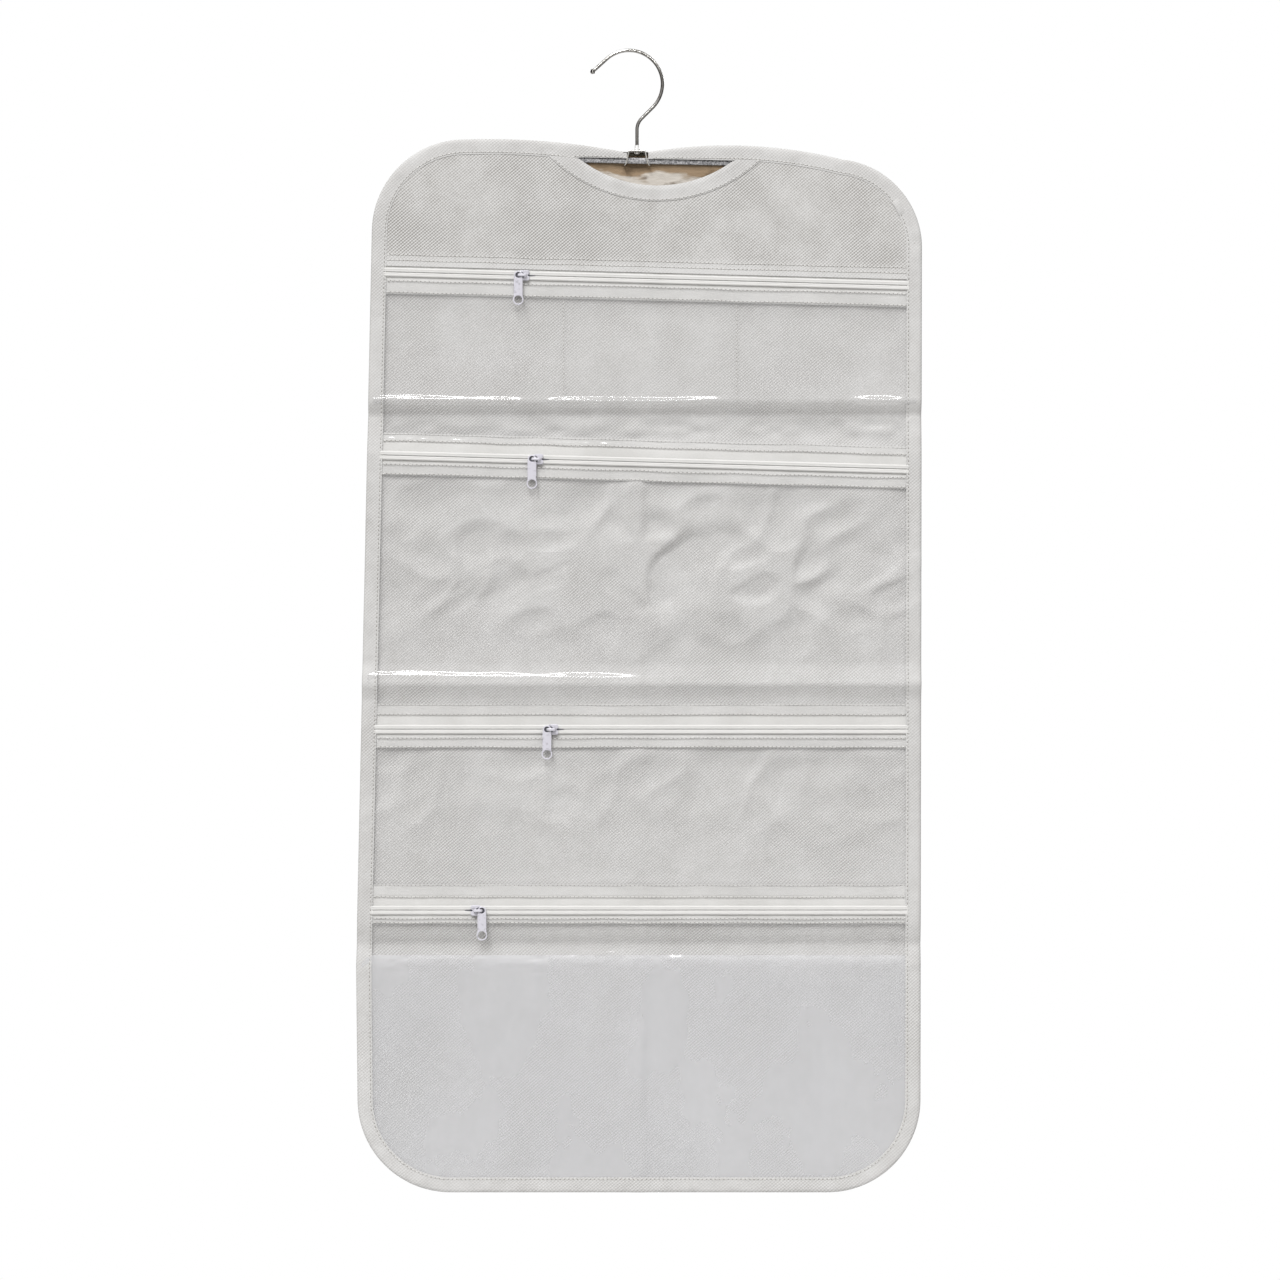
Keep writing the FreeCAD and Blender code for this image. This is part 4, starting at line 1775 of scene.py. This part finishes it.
        sheet, area = cloth("header_lining", level(self.lining_top), level(self.lining_foot),
                            [window, sides], layer, (1.6 * MM, 1.6 * MM))
        thicken(sheet, 0.25 * MM)
        # Painted shade: the tan sheet stands in for the shaded inside of the header.
        dress(sheet, SHADE_SHEET)
        declare(sheet, *self.lining_size, area, "hung", ["back_cloth_header"])
        ride(sheet, "header")


@dataclass
class Zipper:
    """One zip: two woven tapes, a chain, seams, a slider and its pull."""

    line: ZipLine
    outline: Outline
    seams: tuple = ()
    ridge: float = 3.1 * MM
    gap: float = 0.15 * MM
    turns: float = 0.8 * MM

    def edge_x(self, inset: float) -> tuple[float, float]:
        """How far the zip runs to each side, at an inset from the cloth's edge.

        Args:
            inset: The inset.

        Returns:
            The leftmost and the rightmost x.
        """
        line = self.outline.inset(inset)
        near = np.abs(line[:, 1] - self.line.height(line[:, 0])) < 2.6 * MM
        return float(line[near, 0].min()), float(line[near, 0].max())

    def band(self, name: str, low: float, high: float, layer: Callable, columns: int,
             rows: int, inset: float) -> bpy.types.Object:
        """A grid that follows the zip, from one rise above its chain to a higher one.

        Args:
            name: The piece's name.
            low: The lower rise.
            high: The higher rise.
            layer: Gives y for x, z and the rise.
            columns: How many quads it has along the zip.
            rows: How many it has across.
            inset: How far from the cloth's edge it ends.

        Returns:
            The grid, one layer thick.
        """
        left, right = self.edge_x(inset)

        def place(u: Array, v: Array) -> tuple[Array, Array, Array]:
            """Lays the grid along the zip.

            Args:
                u: Shares along the grid's first way.
                v: Shares along its second way.

            Returns:
                The x, y and z of each point.
            """
            x = left + (right - left) * u
            rise = high + (low - high) * v
            z = self.line.height(x) + rise
            return x, layer(x, z, rise), z

        return grid(name, columns, rows, place)

    def build(self) -> None:
        """Makes the zip's pieces."""
        number, body = self.line.number, self.line.body
        seams = Stitches(f"zip_{number}_seams")
        left, right = self.edge_x(11 * MM)
        x = np.linspace(left, right, 150)
        for rise in self.seams:
            wander = 0.35 * MM * lumps(x, x * 0 + rise * 40, 23 * MM, 1.0, 40 + number)
            z = self.line.height(x) + rise + wander
            front = LAYER.vinyl - 0.3 * MM if abs(rise) < 12 * MM or rise < 0 else LAYER.tape - 0.35 * MM
            if number == 1 and rise > 0:
                front = LAYER.front_cloth - 0.3 * MM
            seams.row(np.column_stack([x, front + relief(x, z), z]))
            behind = LAYER.back_cloth
            if abs(rise) > 12 * MM:
                seams.row(np.column_stack([x, behind + 0.3 * MM + relief(x, z, 1), z]))
        sewn = ride(seams.build(), body)
        for side, low, high in (("upper", self.gap, self.line.above), ("lower", -self.line.below, -self.gap)):
            self.tape(side, low, high, sewn if side == "upper" else None)
            self.chain(side)
        self.slider()
        self.pull()

    def tape(self, side: str, low: float, high: float, sewn: bpy.types.Object | None) -> None:
        """One woven tape, slightly wavy along its free edge.

        Args:
            side: Which half it is: upper or lower.
            low: The rise of its lower edge over the chain.
            high: The rise of its upper edge.
            sewn: The zip's seams, if they belong to this tape.
        """
        number = self.line.number
        outer = high if side == "upper" else low

        def layer(x: Array, z: Array, rise: Array) -> Array:
            """The tape's depth: flat by the chain, loose at its edge."""
            loose = np.clip(rise / outer, 0, 1) ** 2
            return LAYER.tape + relief(x, z) + 0.25 * MM * loose * lumps(x, z, 16 * MM, 9 * MM, 50 + number)

        name = f"zip_{number}_tape_{side}"
        strip = self.band(name, low, high, layer, 190, 8, 3 * MM)
        thicken(strip, 0.4 * MM)
        dress(strip, TAPE)
        left, right = self.edge_x(3 * MM)
        declare(strip, right - left, max(high - low, 10 * MM), 1, "stretched",
                [f"zipper_{number}_coil_{side}"], [sewn] if sewn else [])
        ride(strip, self.line.body, f"zipper_{number}_tape_{side}")

    def chain(self, side: str) -> None:
        """One half of the closed chain: a smooth rib over the coil's turns.

        Args:
            side: Which half it is: upper or lower.
        """
        number = self.line.number
        low, high = (self.gap, self.ridge) if side == "upper" else (-self.ridge, -self.gap)

        def layer(x: Array, z: Array, rise: Array) -> Array:
            """A rounded rib with the coil's turns as fine waves.

            Args:
                x: Places across, seen from the front.
                z: Heights.
                rise: Heights over the chain.

            Returns:
                The y at each place.
            """
            across = np.clip((np.abs(rise) - self.gap) / (self.ridge - self.gap), 0, 1)
            arch = np.sqrt(np.clip(1 - (2 * across - 1) ** 4, 0, 1))
            turn = np.sin(x * 2 * math.pi / self.turns) * 0.05 * MM
            groove = 0.16 * MM * bump(across - 0.42, 0.1)
            return LAYER.chain + relief(x, z) - arch * (0.85 * MM + turn) + groove

        strip = self.band(f"zip_{number}_chain_{side}", low, high, layer, 1400, 10, 9 * MM)
        dress(strip, COIL)
        thicken(strip, 0.2 * MM, 1)
        ride(strip, self.line.body, f"zipper_{number}_coil_{side}")

    def slider(self) -> None:
        """The slider: a rounded crown over the chain, a back plate, and the bridge."""
        number = self.line.number
        nose = 1 if JOINTS[f"pull_{number}_swing"]["range_deg"][1] > 60 else -1
        centre = self.line.slider
        low, high = box(f"zipper_{number}_slider")
        front, back = low.y, high.y
        crown = self.crown(nose)
        body = plate("crown", [[(centre.x + x, centre.z + z) for x, z in crown]],
                     front + 2.4 * MM, front + 3.7 * MM, 0.35 * MM)
        rear = plate("rear", [[(centre.x + x * 0.94, centre.z + z * 0.9) for x, z in crown]],
                     back - 0.8 * MM, back, 0.25 * MM)
        neck = plate("neck", [[(centre.x + nose * 2.6 * MM + x, centre.z + z)
                               for x, z in arc((0, 0), 1.0 * MM, 0, 345, 16)]],
                     front + 3.5 * MM, back - 0.6 * MM, 0.1 * MM)
        bridge = self.bridge(centre, front)
        whole = join(f"zip_{number}_slider", [body, rear, neck, *bridge])
        dress(whole, ENAMEL, Angle.METAL)
        ride(whole, f"slider_{number}", f"zipper_{number}_slider")
        self.paint_slider_shade(nose, centre, front)

    def paint_slider_shade(self, nose: int, centre: Vector, front: float) -> None:
        """Dark marks of painted shade: a patch under the pull's eye, and a wedge in the gap that parts the
        coils.

        Args:
            nose: 1 where the slider's nose points right, and -1 where it points left.
            centre: The middle of the slider.
            front: The y of the slider's front.
        """
        # Painted shade under the pull's eye, and in the gap that parts the coils at the slider's nose.
        patch = [(x * 1.35, z) for x, z in arc((0, 0), 2.5 * MM, 0, 345, 24)]
        wedge = [(4.0 * MM, -0.75 * MM), (9.2 * MM, -0.08 * MM), (9.2 * MM, 0.08 * MM), (4.0 * MM, 0.75 * MM)]
        bare = plate("bare", [[(centre.x + nose * (x - 1.6 * MM), centre.z + z) for x, z in patch]],
                     front + 2.28 * MM, front + 2.6 * MM, 0.06 * MM)
        slot = plate("slot", [[(centre.x + nose * x, centre.z + z + self.line.slope * nose * x)
                               for x, z in wedge]],
                     LAYER.chain - 1.02 * MM, LAYER.chain - 0.5 * MM, 0.03 * MM)
        dark = join(f"zip_{self.line.number}_slider_painted_shade", [bare, slot])
        dress(dark, SLIDER_SHADE, Angle.METAL)
        ride(dark, f"slider_{self.line.number}")

    def crown(self, nose: int) -> list[tuple]:
        """The slider's outline: a round tail and a forked nose, about its own middle.

        Args:
            nose: 1 where the slider's nose points right, and -1 where it points left.

        Returns:
            The outline as x and z.
        """
        half, wide, narrow = 5.1 * MM, 3.7 * MM, 2.7 * MM
        outline = arc((-half + narrow, 0), narrow, 90, 270, 12)
        outline += [(-0.5 * MM, -wide), (half - 1.6 * MM, -wide)]
        outline += arc((half - 1.4 * MM, -wide + 1.4 * MM), 1.4 * MM, -80, 0, 5)
        outline += [(half - 0.2 * MM, -0.9 * MM), (half - 1.5 * MM, 0), (half - 0.2 * MM, 0.9 * MM)]
        outline += arc((half - 1.4 * MM, wide - 1.4 * MM), 1.4 * MM, 0, 80, 5)
        outline += [(half - 1.6 * MM, wide), (-0.5 * MM, wide)]
        return [(nose * x, z) for x, z in outline]

    def bridge(self, centre: Vector, front: float) -> list[bpy.types.Object]:
        """The bridge that the pull hangs from: a flat loop that stands on two legs.

        Args:
            centre: The middle of the slider.
            front: The y of the slider's front.

        Returns:
            The bridge's parts.
        """
        reach, foot = 2.8 * MM, front + 2.7 * MM
        top = front + 0.42 * MM
        path = [(centre.x - reach, foot, centre.z)]
        path += [(centre.x + x, top + 0.9 * MM - z, centre.z)
                 for x, z in arc((-reach + 0.9 * MM, 0), 0.9 * MM, 180, 90, 6)]
        path += [(centre.x + x, top + 0.9 * MM - z, centre.z)
                 for x, z in arc((reach - 0.9 * MM, 0), 0.9 * MM, 90, 0, 6)]
        path += [(centre.x + reach, foot, centre.z)]
        loop = tube("bridge", path, 0.42 * MM, 3)
        places = points_of(loop)
        middle = np.array([0, 0, centre.z])
        lying = places[:, 1] < front + 1.2 * MM
        widen = np.where(lying, 2.3, 1.6)[:, None] * np.array([0, 0, 1])
        set_points(loop, places + (places - middle) * widen * np.array([0, 0, 1]) * 0.6)
        return [loop]

    def pull(self) -> None:
        """The pull: an eye, a flat shank and a ring to take hold of."""
        number = self.line.number
        low, high = box(f"zipper_{number}_pull")
        pivot = Vector(JOINTS[f"pull_{number}_swing"]["pos_m"])
        ring = (0.0, low.z + 3.8 * MM - pivot.z)
        outline = arc((0, 0), 2.95 * MM, 12, 168, 13)
        outline += [(-3.0 * MM, -2.6 * MM), (-3.1 * MM, -4.2 * MM), (-3.1 * MM, ring[1] + 3.2 * MM)]
        outline += arc(ring, 3.8 * MM, 148, 392, 28)
        outline += [(3.1 * MM, ring[1] + 3.2 * MM), (3.1 * MM, -4.2 * MM), (3.0 * MM, -2.6 * MM)]
        holes = [arc((0, 0), 1.95 * MM, 0, 345, 24), arc(ring, 2.8 * MM, 0, 348, 30)]
        moved = [[(pivot.x + x, pivot.z + z) for x, z in shape] for shape in (outline, *holes)]
        tag = plate(f"zip_{number}_pull", moved, low.y, high.y, 0.22 * MM)
        dress(tag, ENAMEL, Angle.METAL)
        ride(tag, f"pull_{number}", f"zipper_{number}_pull")


@dataclass
class Window:
    """One clear pocket front, or the stretch of one that bends across a fold."""

    name: str
    top: Edge
    bottom: Edge
    tall: float
    carrier: "Span | str"
    behind: str
    nodes: tuple
    finish: Finish = VINYL

    def buckles(self, x: Array, z: Array) -> Array:
        """Sharp ridges that the sheet keeps beside the folds, and soft waves elsewhere.

        Args:
            x: Places across, seen from the front.
            z: Heights.

        Returns:
            How far the sheet is pushed back.
        """
        uneven = 0.95 + 0.55 * lumps(x, x * 0, 24 * MM, 1.0, 65)
        wander = 1.3 * MM * lumps(x, x * 0, 60 * MM, 1.0, 67)
        gap = 1 - 0.75 * bump(x - 105 * MM, 42 * MM)
        left = np.clip((5 * MM - x) / (30 * MM), 0, 1)
        curl = 1 + 0.5 * bump(x + 155 * MM, 9 * MM)
        ridges = 1.15 * gap * curl * bump(z - (CREASES[0].z + 9.8 * MM) - wander, 2.6 * MM)
        ridges = ridges + (0.25 + 0.5 * left) * curl * bump(z - (CREASES[1].z + 5.2 * MM) - wander, 2.4 * MM)
        near = bump(z - (CREASES[2].z - 9 * MM), 9 * MM)
        sharp = layered(x, z, (1, 8, 3.2, 61), (0.6, 4, 2.4, 62))
        soft = layered(x, z, (1, 46, 24, 63), (0.3, 17, 11, 64))
        seams = sum(bump(z - line.height(x) - 11.5 * MM, 1.3 * MM) for line in ZIPS[1:])
        stitched = 0.22 * seams * (1 + lumps(x, z * 0, 4.4 * MM, 1.0, 68))
        return (0.42 * near * sharp - ridges * np.clip(uneven, 0, 2) + 0.1 * soft - stitched) * MM

    def build(self, outline: Outline) -> None:
        """Makes the sheet and lets it ride on its body, or bakes it in place with its span.

        Args:
            outline: The cloth's edge.
        """
        cut = Cut(outline.inset(4 * MM))

        def layer(x: Array, z: Array) -> Array:
            """The sheet's depth, with its buckles away from the zips."""
            return LAYER.vinyl + relief(x, z) + self.buckles(x, z) * np.clip(3 * calm(x, z), 0, 1)

        sheet, area = cloth(self.name, self.top, self.bottom, [cut], layer, (2.2 * MM, 1.1 * MM))
        thicken(sheet, 0.18 * MM)
        dress(sheet, self.finish)
        declare(sheet, WIDE, self.tall, area, "stretched", [self.behind])
        if isinstance(self.carrier, Span):
            self.carrier.bend(sheet, *self.nodes)
        else:
            ride(sheet, self.carrier, *self.nodes)


@dataclass
class Pockets:
    """The clear pocket fronts, and the two seams that part the first pocket."""

    outline: Outline
    start: float = -5.0 * MM
    hem: float = 10.6 * MM

    def build(self) -> None:
        """Makes each window between the zips and folds that bound it."""
        header, upper, middle, lower, bottom = SPANS
        under = [beside(line, self.start) for line in ZIPS]
        hems = [beside(line, self.hem) for line in ZIPS]
        foot = level(CLOTH_BOTTOM)
        windows = (
            Window("pocket_1_clear", under[0], level(VALLEY_1), 94 * MM, header, "back_cloth_header",
                   ("pocket_1_window", "fold_1_window_strip")),
            Window("pocket_1_clear_hem", level(VALLEY_1), hems[1], 24 * MM, upper, "back_cloth_upper",
                   ("pocket_1_window_hem",)),
            Window("pocket_2_clear", under[1], hems[2], 175 * MM, middle, "back_cloth_middle",
                   ("pocket_2_window", "pocket_2_window_hem")),
            Window("pocket_3_clear", under[2], hems[3], 114 * MM, "lower_panel", "back_cloth_middle",
                   ("pocket_3_window",)),
            Window("pocket_4_clear_head", under[3], level(SPINE_3), 30 * MM, lower, "back_cloth_lower",
                   ("pocket_4_window_head", "fold_3_window_strip")),
            Window("pocket_4_clear", level(SPINE_3), foot, 168 * MM, bottom, "back_cloth_bottom",
                   ("pocket_4_window",), MILKY_VINYL),
        )
        for window in windows:
            window.build(self.outline)
        self.make_dividers()

    def make_dividers(self) -> None:
        """The two seams through pocket 1, as rows of stitches drawn into the vinyl."""
        low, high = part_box("pocket_1_dividers")
        stitches = Stitches("pocket_1_divider_seams", 2.8 * MM, 0.45 * MM)
        for x in (low[0] + 0.6 * MM, high[0] - 0.6 * MM):
            z = np.linspace(high[2], low[2], 40)
            line = np.full_like(z, x)
            stitches.row(np.column_stack([line, LAYER.vinyl - 0.2 * MM + relief(line, z), z]))
            stitches.row(np.column_stack([line, LAYER.back_cloth + 0.3 * MM + relief(line, z, 1), z]))
        ride(stitches.build(), "header", "pocket_1_dividers")


# --------------------------------------------------------------------------------------- the hanger


@dataclass
class Hanger:
    """The wire hook with its collar and riveted head, the bracket and the bar."""

    wire: float = 1.2 * MM
    crown_radius: float = 23.4 * MM
    tip_angle: float = 132.0
    tip_run: float = 13.4 * MM
    throat_angle: float = -45.0
    neck_radius: float = 11 * MM
    ball: float = 1.7 * MM
    gauge: float = 1.0 * MM

    def build(self) -> None:
        """Makes the hanger's pieces."""
        self.make_hook()
        self.make_collar()
        self.make_head()
        self.make_bracket()
        self.make_bar()

    def stem_x(self) -> float:
        """The x of the stem."""
        return JOINTS["hook_swivel"]["pos_m"][0]

    def make_hook(self) -> None:
        """The bent wire, with a ball on its tip."""
        stem = self.stem_x()
        centre = (0.0, self.wire - self.crown_radius)
        crown = arc(centre, self.crown_radius, self.tip_angle, self.throat_angle, 70)
        lean = math.radians(self.tip_angle + 90)
        tip = (crown[0][0] + self.tip_run * math.cos(lean), crown[0][1] + self.tip_run * math.sin(lean))
        end = crown[-1]
        drop = (end[0] - stem) * math.tan(math.radians(45))
        corner_z = end[1] - drop
        bend = self.neck_radius * math.tan(math.radians(22.5))
        neck = arc((stem + self.neck_radius, corner_z - bend), self.neck_radius, 135, 180, 12)
        head_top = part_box("stem_head")[1][2]
        path = [tip, *crown, *neck, (stem, head_top - 1 * MM)]
        hook = tube("hook", [(x, 0, z) for x, z in path], self.wire, 6)
        bpy.ops.object.select_all(action="DESELECT")
        bpy.ops.mesh.primitive_uv_sphere_add(segments=24, ring_count=14, radius=self.ball,
                                             location=(tip[0], 0, tip[1]))
        ball = bpy.context.active_object
        bpy.ops.object.transform_apply(location=True, rotation=True, scale=True)
        places = points_of(ball)
        away = (places - [tip[0], 0, tip[1]]) @ np.array([math.cos(lean), 0, math.sin(lean)])
        squeeze = np.where(away < 0, 1.15, 0.9)[:, None]
        set_points(ball, np.array([tip[0], 0, tip[1]]) + (places - [tip[0], 0, tip[1]]) * squeeze)
        whole = join("hook", [hook, ball])
        dress(whole, WIRE, Angle.METAL)
        ride(whole, "hook", "hook_wire")

    def turned(self, name: str, profile: Sequence[tuple], steps: int = 32) -> bpy.types.Object:
        """A turned piece: a profile of radius and height, spun round the stem.

        Args:
            name: The piece's name.
            profile: Its radius and height, point by point.
            steps: How many faces it has round.

        Returns:
            The turned mesh.
        """
        stem = self.stem_x()

        def place(u: Array, v: Array) -> tuple[Array, Array, Array]:
            """Spins the profile: u runs round and v down it.

            Args:
                u: Shares along the grid's first way.
                v: Shares along its second way.

            Returns:
                The x, y and z of each point.
            """
            row = np.rint(v * (len(profile) - 1)).astype(int)
            radius, height = np.array(profile)[row].T
            return stem + radius * np.cos(u * 2 * math.pi), radius * np.sin(u * 2 * math.pi), height

        piece = grid(name, steps, len(profile) - 1, place)
        apply(piece, "WELD", merge_threshold=0.005 * MM)
        in_edit_mode(piece, bpy.ops.mesh.normals_make_consistent, inside=False)
        return piece

    def make_collar(self) -> None:
        """The flared collar above the bracket."""
        low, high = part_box("stem_collar")
        foot, top, wide = low[2], high[2], (high[0] - low[0]) / 2
        bore = self.wire
        profile = [(bore, top), (bore + 0.25 * MM, top), (bore + 0.5 * MM, top - 0.3 * MM),
                   (bore + 0.55 * MM, top - 1.6 * MM), (wide - 0.5 * MM, foot + 0.9 * MM),
                   (wide, foot + 0.45 * MM), (wide, foot + 0.1 * MM), (wide - 0.2 * MM, foot),
                   (bore, foot), (bore, top)]
        collar = dress(self.turned("stem_collar_flare", profile), COLLAR, Angle.METAL)
        ride(collar, "hook", "stem_collar")

    def make_head(self) -> None:
        """The riveted head under the bracket's web."""
        low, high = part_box("stem_head")
        foot, top, wide = low[2], high[2], (high[0] - low[0]) / 2
        profile = [(0, top), (wide - 0.2 * MM, top), (wide, top - 0.25 * MM), (wide, top - 0.7 * MM),
                   (wide - 0.5 * MM, foot + 0.45 * MM), (wide - 1.3 * MM, foot + 0.1 * MM), (0, foot)]
        head = dress(self.turned("stem_rivet", profile), WIRE, Angle.METAL)
        ride(head, "hook", "stem_head")

    def make_bracket(self) -> None:
        """The strip bent down over the bar, with a turned-out foot on each leg, and a dark plate of painted
        shade behind its web.
        """
        low, high = box("swivel_bracket")
        middle, top, foot, gauge = (low.x + high.x) / 2, high.z, low.z + 1 * MM, self.gauge
        wide, narrow, round_out = (high.x - low.x) / 2, 6.4 * MM, 1.8 * MM

        def side(way: int, shift: float) -> list[tuple]:
            """One leg's line from its foot up to the web, moved inwards by the shift.

            Args:
                way: -1 for the left leg and 1 for the right.
                shift: The shift.

            Returns:
                The line as x and z.
            """
            bend = arc((narrow - round_out, top - round_out), round_out - shift, 0, 90, 8)
            leg = [(wide + 1.2 * MM - shift, foot + 0.3 * shift),
                   (wide - 0.1 * MM - shift, foot + 1.9 * MM), *bend]
            return [(middle + way * x, z) for x, z in leg]

        outer = side(-1, 0) + side(1, 0)[::-1]
        inner = side(1, gauge) + side(-1, gauge)[::-1]
        strip = plate("bracket", [outer + inner], low.y, high.y, 0.18 * MM)
        # A dark plate behind the web: painted shade in the hollow under the bracket.
        shade_plate = plate("bracket_back", [[(middle + x, z) for x, z in (
            (-4.7 * MM, top - 0.6 * MM), (4.7 * MM, top - 0.6 * MM), (4.9 * MM, top - 3.3 * MM),
            (-4.9 * MM, top - 3.3 * MM))]], high.y - 0.7 * MM, high.y - 0.05 * MM, 0.1 * MM)
        dress(shade_plate, SHADED, Angle.METAL)
        ride(shade_plate, "header")
        dress(strip, STRIP, Angle.METAL)
        ride(strip, "header", "swivel_bracket")

    def make_bar(self) -> None:
        """The flat bar, with rounded ends and softened edges."""
        low, high = box("hanger_bar")
        half_y, half_z = (high.y - low.y) / 2, BAR_HEIGHT / 2

        def on_slope(x: float, rise: float) -> tuple:
            """A place on the bar's outline, counted from its sloping middle line."""
            return (x, bar_line(x) + rise)

        outline = [on_slope(low.x + 0.3 * MM + half_z - half_z * math.cos(a), half_z * math.sin(a))
                   for a in np.radians(np.linspace(-90, 90, 12))]
        outline += [on_slope(x, half_z) for x in np.linspace(low.x + 0.1, high.x - 0.1, 6)]
        outline += [on_slope(high.x - 0.3 * MM - half_z + half_z * math.cos(a), half_z * math.sin(a))
                    for a in np.radians(np.linspace(90, -90, 12))]
        bar = plate("bar", [outline], -half_y, half_y, 0.25 * MM)
        dress(bar, BAR, Angle.METAL)
        ride(bar, "header", "hanger_bar")


# --------------------------------------------------------------------------------------- the studio


@dataclass
class Studio:
    """The camera, the lights, the white surround and the floor."""

    lens: float = 85.0
    frame_width: float = 896 * MM
    view_centre: tuple = (7.7 * MM, -411.5 * MM)
    ambient: float = 0.44
    warmth: tuple = (1, 0.98, 0.95)

    def build(self) -> None:
        """Sets the studio up round the object."""
        scene = bpy.context.scene
        scene.view_settings.view_transform = "Standard"
        camera = bpy.data.objects.new("camera", bpy.data.cameras.new("camera"))
        camera.data.lens = self.lens
        away = self.lens / camera.data.sensor_width * self.frame_width
        camera.location = (self.view_centre[0], -away, self.view_centre[1])
        camera.rotation_euler = (math.pi / 2, 0, 0)
        scene.collection.objects.link(camera)
        scene.camera = camera
        self.surround()
        self.sun("key", (-0.24, -0.6, 0.8), 2.45)
        self.sun("fill", (0.3, 0.8, 0.35), 0.9)
        self.lamp("strip", (0.1, -1.9, 1.1), (1.6, 0.08), 18.0)
        for side in (-1, 1):
            self.flag(side)
        self.floor()

    def surround(self) -> None:
        """A white backdrop that is seen at full strength and lights the object more softly."""
        world = bpy.data.worlds.new("surround")
        bpy.context.scene.world = world
        world.use_nodes = True
        nodes, links = world.node_tree.nodes, world.node_tree.links
        seen, lit = nodes["Background"], nodes.new("ShaderNodeBackground")
        for background, strength, tint in ((seen, 1.0, (1, 1, 1)), (lit, self.ambient, self.warmth)):
            background.inputs["Color"].default_value = (*tint, 1)
            background.inputs["Strength"].default_value = strength
        mix = nodes.new("ShaderNodeMixShader")
        links.new(nodes.new("ShaderNodeLightPath").outputs["Is Camera Ray"], mix.inputs[0])
        links.new(lit.outputs[0], mix.inputs[1])
        links.new(seen.outputs[0], mix.inputs[2])
        links.new(mix.outputs[0], nodes["World Output"].inputs["Surface"])

    def sun(self, name: str, place: tuple, strength: float) -> None:
        """Adds broad, soft light that falls evenly from one side.

        Args:
            name: The light's name.
            place: Where it shines from.
            strength: How strong it is.
        """
        data = bpy.data.lights.new(name, "SUN")
        data.angle = math.radians(24)
        data.energy = strength
        self.hang(data, place, -Vector(place))

    def lamp(self, name: str, place: tuple, size: tuple, power: float) -> None:
        """Adds an area light that points at the object's middle.

        Args:
            name: The light's name.
            place: Where it hangs.
            size: Its width and height.
            power: Its power in watts.
        """
        data = bpy.data.lights.new(name, "AREA")
        data.shape = "RECTANGLE"
        data.size, data.size_y = size
        data.energy = power
        self.hang(data, place, Vector((MIDDLE_X, 0, self.view_centre[1])) - Vector(place))

    def hang(self, data: bpy.types.Light, place: tuple, aim: Vector) -> None:
        """Puts a light in its place and points it along a direction.

        Args:
            data: The light.
            place: Where it hangs.
            aim: The direction that it points in.
        """
        lamp = bpy.data.objects.new(data.name, data)
        lamp.location = place
        lamp.rotation_euler = aim.to_track_quat("-Z", "Y").to_euler()
        bpy.context.scene.collection.objects.link(lamp)

    def flag(self, side: int) -> None:
        """A dark board beside the object that only its bright metal mirrors.

        Args:
            side: -1 for the left and 1 for the right.
        """
        bpy.ops.object.select_all(action="DESELECT")
        bpy.ops.mesh.primitive_grid_add(x_subdivisions=4, y_subdivisions=4, size=1.6)
        bpy.ops.transform.rotate(value=math.pi / 2, orient_axis="Y", center_override=(0, 0, 0))
        bpy.ops.transform.translate(value=(side * 1.1, -0.1, -0.2))
        board = bpy.context.active_object
        board.name = "flag_left" if side < 0 else "flag_right"
        bpy.ops.object.transform_apply(location=True, rotation=True, scale=True)
        board.data.materials.append(BOARD.material())
        board.visible_camera = False
        board.visible_diffuse = False
        board.visible_transmission = False
        board.visible_shadow = False

    def floor(self) -> None:
        """The pale floor below the hanging object."""
        bpy.ops.object.select_all(action="DESELECT")
        bpy.ops.mesh.primitive_grid_add(x_subdivisions=8, y_subdivisions=8, size=1.1,
                                        location=(MIDDLE_X, 0, -1.02))
        floor = bpy.context.active_object
        floor.name = "floor"
        bpy.ops.object.transform_apply(location=True, rotation=True, scale=True)
        floor.data.materials.append(FLOOR.material())


SEAMS = {
    1: (12.2 * MM, 8.4 * MM, -6.0 * MM, -13.9 * MM),
    2: (15.0 * MM, 10.4 * MM, -6.2 * MM, -12.7 * MM),
    3: (17.0 * MM, 10.4 * MM, -6.2 * MM, -12.2 * MM),
    4: (17.2 * MM, 9.3 * MM, -6.0 * MM, -8.7 * MM),
}


def main() -> None:
    """Builds the organiser in order, from the back cloth to the front."""
    logging.basicConfig(level=logging.INFO, format="%(message)s")
    Studio().build()
    outline = Outline()
    BackCloth(outline).build()
    Header(outline).build()
    EdgeBinding(outline).build()
    for line in ZIPS:
        Zipper(line, outline, SEAMS[line.number]).build()
    Pockets(outline).build()
    Hanger().build()


if __name__ == "__main__":
    main()
